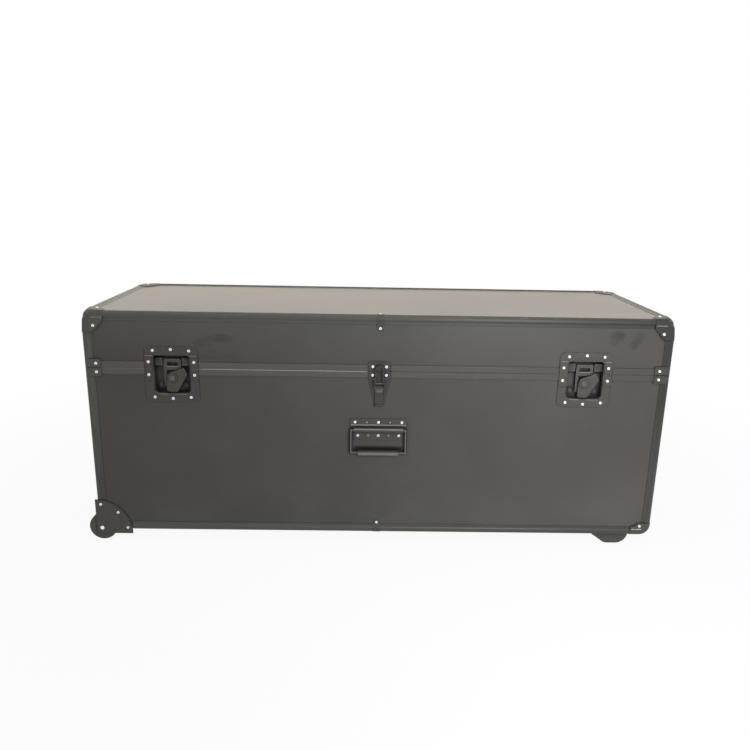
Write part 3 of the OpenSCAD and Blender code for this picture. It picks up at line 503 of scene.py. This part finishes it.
def drawn_radius(along, radii):
    """The sheet is drawn round at the corner itself and runs out to the fold of the rails."""
    for (near, wide), (far, tight) in zip(radii, radii[1:]):
        if along < far:
            return wide + (tight - wide) * max(0.0, along - near) / (far - near)
    return fold_radius


def drawn_in(a, b, along):
    """Moves a point of a cross-section from the tight fold to the drawn radius."""
    radius = drawn_radius(along, drawn_radii)
    if a >= radius or b >= radius:
        return a, b
    far_a = radius - a
    far_b = radius - b
    reach = math.hypot(far_a, far_b)
    cosine = far_a / reach
    sine = far_b / reach
    tan = min(cosine, sine) / max(cosine, sine)
    if radius * (1.0 - tan) >= fold_radius:
        edge = radius / max(cosine, sine)
    else:
        inset = radius - fold_radius
        half = inset * (cosine + sine)
        edge = half + math.sqrt(max(0.0, half * half - 2 * inset * inset + fold_radius * fold_radius))
    share = radius / edge
    return radius - far_a * share, radius - far_b * share


def rounded_off(a, b, along, inside):
    """Holds a point of a cross-section within the drawn radius, or the inner side of the sheet."""
    radius = drawn_radius(along, low_radii)
    if a >= radius or b >= radius:
        return a, b
    share = min(1.0, (radius - inside) / math.hypot(radius - a, radius - b))
    return radius - (radius - a) * share, radius - (radius - b) * share


def drawn_caps(name, node, body, finish, level, way):
    """The solid caps of one half with their corners drawn round; a low cap only across its end."""
    caps = bmesh.new()
    caps.from_mesh(nodes[node].data)
    bmesh.ops.remove_doubles(caps, verts=caps.verts[:], dist=weld)
    for _ in range(5):
        long_edges = [edge for edge in caps.edges if edge.calc_length() > facet]
        bmesh.ops.subdivide_edges(caps, edges=long_edges, cuts=1)
        bmesh.ops.triangulate(caps, faces=caps.faces[:])
    caps.normal_update()
    outside = {}
    for point in caps.verts:
        outward = (math.copysign(1.0, point.co.x), 0.0, way)
        outside[point] = point.normal.dot(outward) > -0.2
    for point in caps.verts:
        a = lid_cap_high.x - abs(point.co.x)
        b = lid_cap_high.y - abs(point.co.y)
        c = way * (level - point.co.z)
        if way > 0:
            a, b = drawn_in(a, b, c)
            a, c = drawn_in(a, c, b)
            b, c = drawn_in(b, c, a)
        else:
            a, c = rounded_off(a, c, b, 0.0 if outside[point] else cap_sheet)
        point.co = (math.copysign(lid_cap_high.x - a, point.co.x),
                    math.copysign(lid_cap_high.y - b, point.co.y), level - way * c)
    bmesh.ops.dissolve_degenerate(caps, dist=weld, edges=caps.edges[:])
    drawn = bpy.data.meshes.new(name)
    caps.to_mesh(drawn)
    caps.free()
    drawn.shade_smooth()
    drawn.set_sharp_from_angle(angle=math.radians(40))
    drawn.materials.append(finish)
    piece = placed(name, drawn)
    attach(piece, body)
    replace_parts(piece, node)


def plain_mesh(source, name, tree, sizes):
    """Runs a node tree on a source mesh and keeps the outcome as a plain object."""
    carrier = placed(name + "_source", source)
    maker = carrier.modifiers.new("maker", "NODES")
    maker.node_group = tree
    for item in tree.interface.items_tree:
        if item.in_out == "INPUT" and item.name in sizes:
            maker[item.identifier] = sizes[item.name]
    bpy.context.view_layer.update()
    made = bpy.data.meshes.new_from_object(carrier.evaluated_get(bpy.context.evaluated_depsgraph_get()))
    carrier.modifiers.remove(maker)
    bpy.data.objects.remove(carrier)
    made.name = name
    return placed(name, made)


def rib_tree():
    """Lays a round ridge along every edge of a mesh of loose lines."""
    tree = bpy.data.node_groups.new("pressed_ribs", "GeometryNodeTree")
    tree.interface.new_socket("Lines", in_out="INPUT", socket_type="NodeSocketGeometry")
    tree.interface.new_socket("Rib radius", in_out="INPUT", socket_type="NodeSocketFloat")
    tree.interface.new_socket("Finish", in_out="INPUT", socket_type="NodeSocketMaterial")
    tree.interface.new_socket("Ribs", in_out="OUTPUT", socket_type="NodeSocketGeometry")
    t = Tone(tree)
    lines, radius, finish = (t.make("NodeGroupInput", out=i) for i in range(3))
    course = t.make("GeometryNodeMeshToCurve", {}, {"Mesh": lines})
    section = t.make("GeometryNodeCurvePrimitiveCircle", {}, {"Resolution": 12, "Radius": radius})
    ridge = t.make("GeometryNodeCurveToMesh", {}, {"Curve": course, "Profile Curve": section,
                                                   "Fill Caps": True})
    real = t.make("GeometryNodeRealizeInstances", {}, {"Geometry": ridge})
    coated = t.make("GeometryNodeSetMaterial", {}, {"Geometry": real, "Material": finish})
    t.make("NodeGroupOutput", {}, {0: coated})
    return tree


ribbing = rib_tree()


def pressed_ribs(name, body, lines, radius, finish):
    """One piece of ridges, each between the two ends of a line."""
    course = bpy.data.meshes.new(name + "_lines")
    ends = [end for line in lines for end in line]
    course.from_pydata(ends, [(i, i + 1) for i in range(0, len(ends), 2)], [])
    ribs = plain_mesh(course, name, ribbing, {"Rib radius": radius, "Finish": finish})
    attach(ribs, body)


def cap_rib_lines(sides, z):
    """One rib on each upright face of a cap, level, just outside the bead of the rail below."""
    lines = []
    face_x = lid_cap_high.x - rib_sunk
    face_y = lid_cap_high.y - rib_sunk
    for sx in sides:
        for sy in (-1, 1):
            lines.append([(sx * (lid_cap_high.x - reach), sy * face_y, z) for reach in (rib_from, rib_to)])
            lines.append([(sx * face_x, sy * (lid_cap_high.y - reach), z) for reach in (rib_from, rib_to)])
    return lines


# Caps and braces are painted lighter towards the left end.
cap_coat = coated_steel("coated_cap", (60, 60, 57), (150, 146, 138), rough=0.40, chips=0.10, painted_shade_share=0.55,
                        fold=0.0016, shine=0.12, dust_and_sheen=0.85, painted_lighter_left=(94, 94, 90))
low_cap_coat = coated_steel("coated_low_cap", (74, 74, 70), (150, 146, 138), rough=0.36, chips=0.10,
                            fold=0.0016)
brace_coat = coated_steel("coated_brace", (64, 64, 61), (128, 126, 120), rough=0.38, chips=0.06, painted_shade_share=0.45,
                          painted_lighter_left=(84, 84, 81))
# The ribs are coated pale: painted highlights along folds and edges.
pale_rib_finish = coated_steel("pale_rib_painted_highlight", (140, 136, 126), (214, 204, 186), rough=0.34, chips=0.40)
bright_rib_finish = coated_steel("bright_rib_painted_highlight", (206, 198, 182), (226, 218, 202), rough=0.34, chips=0.40, painted_shade_share=0.4)
dress(brace_coat, "base_rim_braces", "lid_rim_braces")
drawn_caps("lid_drawn_caps", "lid_corner_caps", "lid", cap_coat, lid_cap_high.z, 1.0)
drawn_caps("base_drawn_caps", "base_corner_caps", "base", low_cap_coat, base_cap_low.z, -1.0)
pressed_ribs("lid_cap_ribs", "lid", cap_rib_lines((-1, 1), lid_rib_z), rib_radius, pale_rib_finish)
pressed_ribs("base_cap_ribs", "base", cap_rib_lines((1,), base_rib_z), rib_radius, bright_rib_finish)

# Rail clips: short straps of coated sheet bent over the middle of the front rails and let down on the
# panel, where the rivet in their rounded end holds them. The upper one has a rivet on top as well.
clip_coat = coated_steel("coated_clip", (70, 70, 67), (120, 118, 112), rough=0.38, chips=0.08)
clip_half = 0.0078
clip_sheet = 0.0007
clip_tip = 0.004
clip_inner_reach = 0.0240
bend_radius = 0.008
bend_steps = 6
bead_deep = 0.0105
bead_slope = 0.003
lip_end = 0.0195
panel_from = 0.0215
panel_drop = rail_high.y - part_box("base_back_panel")[1].y
lip_deep = panel_drop - 0.0017
# How far into the rounded end of a strap, and how much of its width it has there.
tip_widths = ((0.0, 0.0), (0.13, 0.5), (0.5, 0.87))
tip_least = 0.0004


def clip_leg(reach):
    """Steps along one leg and their depth below the rail's face, and how long its rounded end is."""
    tip = min(clip_tip, reach - panel_from - clip_sheet)
    leg = [(fold_radius, -clip_sheet), (bead_deep, -clip_sheet), (bead_deep + bead_slope, lip_deep),
           (lip_end, lip_deep), (panel_from, panel_drop - clip_sheet), (reach - tip, panel_drop - clip_sheet)]
    return leg, tip


def rail_clip(name, body, level, way, front_reach):
    """A strap of one width, its two ends rounded, wrapped round the rail at the given level."""
    front, front_tip = clip_leg(front_reach)
    inner, inner_tip = clip_leg(clip_inner_reach)
    course = list(reversed(inner))
    for step in range(1, bend_steps):
        turn = math.radians(90.0 * step / bend_steps)
        course.append((bend_radius - (bend_radius + clip_sheet) * math.sin(turn),
                       bend_radius - (bend_radius + clip_sheet) * math.cos(turn)))
    course += [(deep, along) for along, deep in front]
    rows = []
    for share, width in tip_widths:
        rows.append((clip_inner_reach - inner_tip * share, inner[-1][1], clip_half * width))
    rows += [(depth, drop, clip_half) for depth, drop in course]
    for share, width in reversed(tip_widths):
        rows.append((front[-1][1], front_reach - front_tip * share, clip_half * width))
    strap = bmesh.new()
    pairs = []
    for depth, drop, half in rows:
        y = -rail_high.y + depth
        z = level - way * drop
        pairs.append([strap.verts.new((side * max(half, tip_least), y, z)) for side in (-1, 1)])
    for one, two in zip(pairs, pairs[1:]):
        strap.faces.new((one[0], one[1], two[1], two[0]))
    bmesh.ops.recalc_face_normals(strap, faces=strap.faces[:])
    if sum(face.normal.y * face.calc_area() for face in strap.faces) > 0:
        bmesh.ops.reverse_faces(strap, faces=strap.faces[:])
    bmesh.ops.solidify(strap, geom=strap.faces[:], thickness=clip_sheet)
    sheet = bpy.data.meshes.new(name)
    strap.to_mesh(sheet)
    strap.free()
    sheet.shade_smooth()
    sheet.set_sharp_from_angle(angle=math.radians(50))
    sheet.materials.append(clip_coat)
    piece = placed(name, sheet)
    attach(piece, body)


rail_clip("lid_rail_clip", "lid", rail_high.z, way=1.0, front_reach=0.0335)
rail_clip("base_rail_clip", "base", rail_low.z, way=-1.0, front_reach=0.0290)

# Wheel brackets, axles and wheels: quarter-round coated plates with a housing let into the lower
# left corners, a riveted axle pin, and a rubber tyre pressed on a moulded hub that turns on it.


def plated(name, shade, worn, rough):
    """Turned and plated steel, polished at the edges."""
    finish, f = new_finish(name)
    place = f.make("ShaderNodeTexCoord", out=3)
    turning = f.noise(place, 900.0)
    patch = f.noise(place, 60.0, 5.0, 0.6)
    rub, soft = rubbed_edges(f, 0.0006, 0.03, 0.3)
    tint = f.mixed(patch * 0.7 + turning * 0.2, shade_of(*shade, 0.88), shade_of(*shade, 1.12))
    tint = f.mixed(rub * patch.rise(0.35, 0.6), tint, shade_of(*worn))
    surface(f, tint, rough + patch * 0.14, relief(f, 0.12, 0.00008, turning, soft), metal=0.8)
    return finish


def moulded(name, shade, rough, dusty, held=None):
    """Moulded rubber or plastic, dusty where it comes near the floor; where it is held, a pale band that is
    polish and a painted highlight, with a painted shadow along its top.
    """
    finish, f = new_finish(name)
    place = f.make("ShaderNodeTexCoord", out=3)
    z = f.split(place)[2]
    pores = f.noise(place, 640.0)
    patch = f.noise(place, 60.0, 4.0)
    rub, soft = rubbed_edges(f, 0.0012, 0.03, 0.3)
    dirt_and_shade = (1.0 - z.rise(0.0, 0.02)) * patch.rise(0.35, 0.65) * dusty + rub * 0.10
    tint = f.mixed(patch, shade_of(*shade, 0.88), shade_of(*shade, 1.12))
    tint = f.mixed(dirt_and_shade, tint, shade_of(128, 122, 112))
    if held:
        low = held[0].z
        high = held[1].z
        # A pale band on the grip: polish and a painted highlight.
        polish_and_highlight = z.rise(low + 0.0005, low + 0.003) * (1.0 - z.rise(high - 0.006, high - 0.0035))
        tint = f.mixed(polish_and_highlight * (0.6 + patch * 0.3), tint, shade_of(124, 122, 116))
        # Painted shadow along the top of the grip.
        tint = f.mixed(z.rise(high - 0.005, high - 0.0025) * 0.9, tint, shade_of(20, 19, 18))
    surface(f, tint, rough + patch * 0.15, relief(f, 0.3, 0.00015, pores, soft), shine=0.3)
    return finish


bracket_coat = coated_steel("coated_bracket", (76, 75, 69), (118, 115, 108), rough=0.40, chips=0.06,
                            painted_shade_share=0.25)
bright_axle = plated("bright_axle", (240, 239, 235), (248, 247, 244), rough=0.30)
tyre_rubber = moulded("tyre_rubber", (82, 80, 74), rough=0.55, dusty=0.20)
hub_plastic = moulded("hub_plastic", (66, 65, 62), rough=0.42, dusty=0.10)
for side in ("front", "back"):
    dress(bracket_coat, "wheel_bracket_" + side)
    dress(bright_axle, "wheel_axle_" + side)
    dress(tyre_rubber, "wheel_tyre_" + side)
    dress(hub_plastic, "wheel_hub_" + side)

# Feet: moulded rubber blocks, humped along the case and flat where they stand. They hold up the
# right end behind the front and back rails, level with the wheels.
dress(moulded("foot_rubber", (70, 69, 66), rough=0.50, dusty=0.25), "foot_front", "foot_back")

# Twist latches: a dish in the base and a keeper dish in the lid, a hook plate drawn by an eccentric
# behind the folding wing, and the spindle that carries it. All are coated and rubbed where they rub,
# with painted shade in their recesses and painted highlights on their pale ribs.
spindle_low, spindle_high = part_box("latch_spindle_right")
boss_radius = 0.010
head_radius = (spindle_high.x - spindle_low.x) / 2
# Painted shade rings round the edges of the boss and the spindle head on each wing.
shade_ring_wide = 0.0006
boss_shade_rings = ((spindle_low.x + spindle_high.x) / 2, (spindle_low.z + spindle_high.z) / 2,
              (boss_radius + shade_ring_wide, head_radius + shade_ring_wide))
slot_half = 0.0105
slot_floor = 0.0035
shoulder_drop = 0.0185
shoulder_spans = ((-0.0525, -0.038), (0.038, 0.0515))
lip_rise = 0.0165
lip_spans = ((-0.029, -0.010), (0.006, 0.029))
dish_coat = coated_steel("coated_dish", (70, 69, 66), (186, 181, 170), rough=0.40, chips=0.16, painted_shade_share=1.0,
                         fold=0.0014, deep=0.38)
hook_coat = coated_steel("coated_hook", (76, 75, 71), (214, 208, 196), rough=0.36, chips=0.34, painted_shade_share=1.0,
                         fold=0.0018, deep=0.42)
wing_coat = coated_steel("coated_wing", (72, 71, 67), (160, 156, 148), rough=0.38, chips=0.18, painted_shade_share=1.0,
                         fold=0.0016, deep=0.42, rings=boss_shade_rings)
dark_pin = plated("dark_pin", (96, 95, 91), (170, 168, 162), rough=0.30)


def level_lines(middle, spans, y, z):
    return [[(middle + along, y, z) for along in span] for span in spans]


for side in ("left", "right"):
    dress(dish_coat, "latch_tray_" + side, "keeper_tray_" + side)
    dress(hook_coat, "latch_hook_" + side)
    dress(wing_coat, "latch_wing_" + side)
    dress(dark_pin, "latch_spindle_" + side)
    dish_low, dish_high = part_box("latch_tray_" + side)
    keeper_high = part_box("keeper_tray_" + side)[1]
    middle = (dish_low.x + dish_high.x) / 2
    flange_y = dish_low.y + rib_sunk
    hook_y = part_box("latch_hook_" + side)[0].y + rib_sunk
    shoulders = level_lines(middle, shoulder_spans, flange_y, keeper_high.z - shoulder_drop)
    lips = level_lines(middle, lip_spans, flange_y, dish_low.z + lip_rise)
    slot_lip = level_lines(middle, [(-slot_half, slot_half)], hook_y, rim_top + slot_floor - rib_radius)
    pressed_ribs("keeper_ribs_" + side, "lid", shoulders, rib_radius * 0.8, pale_rib_finish)
    pressed_ribs("dish_ribs_" + side, "base", lips, rib_radius * 0.7, pale_rib_finish)
    pressed_ribs("hook_lip_" + side, "hook_" + side, slot_lip, rib_radius, pale_rib_finish)

# Draw catch: a pressed base with two ears, a lever on stub pins, and a bar loop that is drawn down
# over the boss of the strike on the lid. The middle of the lever has a pale patch: thumb polish and a
# painted highlight.
lever_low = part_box("draw_catch_lever")[0]
thumb_half = 0.008
thumb_highlight_patch = ((-thumb_half, lever_low.z + 0.0287), (thumb_half, lever_low.z + 0.0387))
catch_coat = coated_steel("coated_catch", (61, 60, 57), (128, 125, 118), rough=0.36, chips=0.10, painted_shade_share=1.0)
lever_coat = coated_steel("coated_lever", (60, 59, 56), (146, 144, 138), rough=0.36, chips=0.10, painted_shade_share=1.0,
                          thumb_highlight=thumb_highlight_patch)
dress(catch_coat, "draw_catch_base", "draw_catch_strike", "draw_catch_loop")
dress(lever_coat, "draw_catch_lever")
dress(dark_pin, "draw_catch_pin", "draw_catch_loop_pin")

# Handles: a folded plate whose barrel holds a round steel bail, with a moulded sleeve for a grip.
# One is on the front and one, for towing, on the end away from the wheels.
plate_coat = coated_steel("coated_handle_plate", (70, 69, 65), (140, 137, 130), rough=0.34, chips=0.12)
# The ridge is coated paler than its plate, a painted highlight.
ridge_coat = coated_steel("coated_ridge", (118, 116, 110), (160, 157, 150), rough=0.30, chips=0.12, painted_shade_share=0.4)
grip_sleeve = moulded("grip_sleeve", (76, 75, 72), rough=0.34, dusty=0.0, held=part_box("handle_grip_front"))
ridge_radius = 0.0022
ridge_drop = 0.0136
ridge_out = 0.0016
ridge_inset = 0.002
crest_radius = ridge_radius * 0.5
crest_drop = 0.0203
crest_sunk = 0.0013
crest_inset = 0.009
rod_highlight_band = 0.0004


def standing_out(side, piece):
    """How far the near and the outer side of a handle's piece lie from the middle of the trunk."""
    low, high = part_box(piece + side)
    return (-high.y, -low.y) if side == "front" else (low.x, high.x)


def across_plate(side, out, inset, drop):
    """A level line across a handle's plate, let in at both ends and down from its top."""
    low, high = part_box("handle_plate_" + side)
    if side == "front":
        return [(x, -out, high.z - drop) for x in (low.x + inset, high.x - inset)]
    return [(out, y, high.z - drop) for y in (low.y + inset, high.y - inset)]


for side, way_x, way_y in (("front", 0.0, -1.0), ("end", 1.0, 0.0)):
    rod_face = standing_out(side, "handle_bail_")[1]
    # Each bail rod has a painted highlight down its outermost face.
    bail_coat = coated_steel("coated_bail_" + side, (44, 43, 41), (136, 133, 126), rough=0.28, chips=0.12,
                             crown=(way_x, way_y, rod_face - rod_highlight_band))
    dress(plate_coat, "handle_plate_" + side)
    dress(bail_coat, "handle_bail_" + side)
    dress(grip_sleeve, "handle_grip_" + side)
    plate_back, plate_face = standing_out(side, "handle_plate_")
    ridge = across_plate(side, plate_back + ridge_out, ridge_inset, ridge_drop)
    crest = across_plate(side, plate_face - crest_sunk, crest_inset, crest_drop)
    pressed_ribs("handle_ridge_" + side, "base", [ridge], ridge_radius, ridge_coat)
    pressed_ribs("handle_crest_" + side, "base", [crest], crest_radius, pale_rib_finish)

# Hinges: two pairs of pressed and coated leaves, riveted to the back of base and lid. Their knuckles
# close around a plain steel pin.
leaf_coat = coated_steel("coated_leaf", (70, 69, 66), (140, 137, 130), rough=0.38, chips=0.14)
for side in ("left", "right"):
    dress(leaf_coat, "hinge_leaf_base_" + side, "hinge_leaf_lid_" + side)
    dress(dark_pin, "hinge_pin_" + side)

# Rivets: bright plated blind rivets, a low rounded head around a drawn-in mandrel, set through each
# fitting into the board behind, with smaller dull plugs between those of the handle plates. Their
# seats are read off the solid rivets that they stand for.
mandrel_share = 0.26
mandrel_sunk = 0.15
plug_share = 0.72
clip_rivet_deep = 0.0175
bright_steel, f = new_finish("bright_plated_rivet")
place = f.make("ShaderNodeTexCoord", out=3)
dull_and_shade = f.noise(place, 180.0, 4.0)
mandrel = f.make("ShaderNodeAttribute", {"attribute_name": "mandrel"}, out=2)
tint = f.mixed(dull_and_shade.rise(0.55, 0.8), shade_of(246, 246, 244), shade_of(214, 212, 206))
tint = f.mixed(mandrel, tint, shade_of(158, 154, 146))
surface(f, tint, 0.30 + dull_and_shade * 0.2, metal=0.6)
dull_steel = plated("dull_plug", (206, 203, 196), (222, 220, 214), rough=0.45)


def loose_solids(name):
    """The points of each separate solid in a group."""
    shape = bmesh.new()
    shape.from_mesh(nodes[name].data)
    bmesh.ops.remove_doubles(shape, verts=shape.verts, dist=1e-6)
    left = dict.fromkeys(shape.verts)
    solids = []
    while left:
        stack = [left.popitem()[0]]
        points = []
        while stack:
            point = stack.pop()
            points.append(point.co.copy())
            for edge in point.link_edges:
                other = edge.other_vert(point)
                if other in left:
                    del left[other]
                    stack.append(other)
        solids.append(points)
    shape.free()
    return solids


def rivet_seats(name):
    """Seat, outward direction, head radius and head height of every rivet in a group."""
    seats = []
    for points in loose_solids(name):
        low = Vector([min(p[i] for p in points) for i in range(3)])
        high = Vector([max(p[i] for p in points) for i in range(3)])
        size = high - low
        mid = (low + high) / 2
        axis = min(range(3), key=lambda i: abs(size[i - 1] - size[i - 2]))
        off_axis = [math.hypot(p[axis - 1] - mid[axis - 1], p[axis - 2] - mid[axis - 2]) for p in points]
        radius = max(off_axis)
        crown = min(zip(off_axis, points), key=lambda pair: pair[0])[1][axis]
        brim = [p[axis] for off, p in zip(off_axis, points) if off > radius * 0.99]
        seat = min(brim, key=lambda place: abs(place - crown))
        mid[axis] = seat
        way = Vector((0.0, 0.0, 0.0))
        way[axis] = math.copysign(1.0, crown - seat)
        seats.append((mid, way, radius, abs(crown - seat)))
    return seats


def rivet_tree(finish):
    """Sets a rounded ring with a sunk middle on every point, facing the way that the point gives."""
    tree = bpy.data.node_groups.new("rivets", "GeometryNodeTree")
    tree.interface.new_socket("Seats", in_out="INPUT", socket_type="NodeSocketGeometry")
    for name in ("Head radius", "Head height", "Mandrel radius"):
        tree.interface.new_socket(name, in_out="INPUT", socket_type="NodeSocketFloat")
    tree.interface.new_socket("Rivets", in_out="OUTPUT", socket_type="NodeSocketGeometry")
    t = Tone(tree)
    seats, radius, tall, middle = (t.make("NodeGroupInput", out=i) for i in range(4))

    def triple(a, b, c):
        return t.make("ShaderNodeCombineXYZ", {}, {0: a, 1: b, 2: c})

    half = (radius - middle) * 0.5
    path = t.make("GeometryNodeCurvePrimitiveCircle", {}, {"Resolution": 24, "Radius": middle + half})
    section = t.make("GeometryNodeCurvePrimitiveCircle", {}, {"Resolution": 12, "Radius": half})
    ring = t.make("GeometryNodeCurveToMesh", {}, {"Curve": path, "Profile Curve": section})
    ring = t.make("GeometryNodeTransform", {}, {"Geometry": ring, "Scale": triple(1.0, 1.0, tall / half)})
    core = t.make("GeometryNodeMeshCylinder", {}, {"Vertices": 12, "Radius": middle + half * 0.5,
                                                   "Depth": tall})
    sunk = triple(0.0, 0.0, tall * -mandrel_sunk)
    core = t.make("GeometryNodeTransform", {}, {"Geometry": core, "Translation": sunk})
    core = t.make("GeometryNodeStoreNamedAttribute", {"data_type": "FLOAT", "domain": "POINT"},
                  {"Geometry": core, "Name": "mandrel", "Value": 1.0})
    join = t.make("GeometryNodeJoinGeometry")
    for part in (ring, core):
        tree.links.new(part.socket, join.socket.node.inputs[0])
    smooth = t.make("GeometryNodeSetShadeSmooth", {}, {"Geometry": join})
    facing = t.make("GeometryNodeInputNamedAttribute", {"data_type": "FLOAT_VECTOR"}, {"Name": "outward"})
    aim = t.make("FunctionNodeAlignRotationToVector", {"axis": "Z"}, {"Vector": facing})
    set_out = t.make("GeometryNodeInstanceOnPoints", {}, {"Points": seats, "Instance": smooth,
                                                          "Rotation": aim})
    real = t.make("GeometryNodeRealizeInstances", {}, {"Geometry": set_out})
    coated = t.make("GeometryNodeSetMaterial", {}, {"Geometry": real, "Material": finish})
    t.make("NodeGroupOutput", {}, {0: coated})
    return tree


def set_rivets(name, seats, tree, body):
    """Sets a head on every seat; all the heads of a piece are of one size."""
    dots = bpy.data.meshes.new(name + "_seats")
    dots.from_pydata([seat[0] for seat in seats], [], [])
    way = dots.attributes.new("outward", "FLOAT_VECTOR", "POINT")
    for i, seat in enumerate(seats):
        way.data[i].vector = seat[1]
    radius, tall = seats[0][2:]
    sizes = {"Head radius": radius, "Head height": tall, "Mandrel radius": radius * mandrel_share}
    heads = plain_mesh(dots, name, tree, sizes)
    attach(heads, body)
    return heads


def plug_seats(seats, plate):
    """Seats half way between neighbouring rivets of a row on a plate, for smaller, duller heads."""
    low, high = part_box(plate)
    on_plate = []
    for seat in seats:
        mid, _, radius, _ = seat
        if all(low[i] - radius < mid[i] < high[i] + radius for i in range(3)):
            on_plate.append(seat)
    on_plate.sort(key=lambda seat: (round(seat[0].z, 3), seat[0].x, seat[0].y))
    plugs = []
    for one, two in zip(on_plate, on_plate[1:]):
        mid, way, radius, tall = one
        if abs(mid.z - two[0].z) < plug_share * radius:
            plugs.append(((mid + two[0]) / 2, way, radius * plug_share, tall * plug_share))
    return plugs


riveting = rivet_tree(bright_steel)
plugging = rivet_tree(dull_steel)
for body in ("base", "lid"):
    seats = rivet_seats(body + "_rivets")
    if body == "lid":
        clip_seat = Vector((0.0, clip_rivet_deep - rail_high.y, rail_high.z - lip_deep))
        seats.append((clip_seat, Vector((0.0, 0.0, 1.0)), *seats[0][2:]))
    else:
        for side in ("front", "end"):
            set_rivets("handle_plugs_" + side, plug_seats(seats, "handle_plate_" + side), plugging, body)
    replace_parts(set_rivets(body + "_rivet_heads", seats, riveting, body), body + "_rivets")
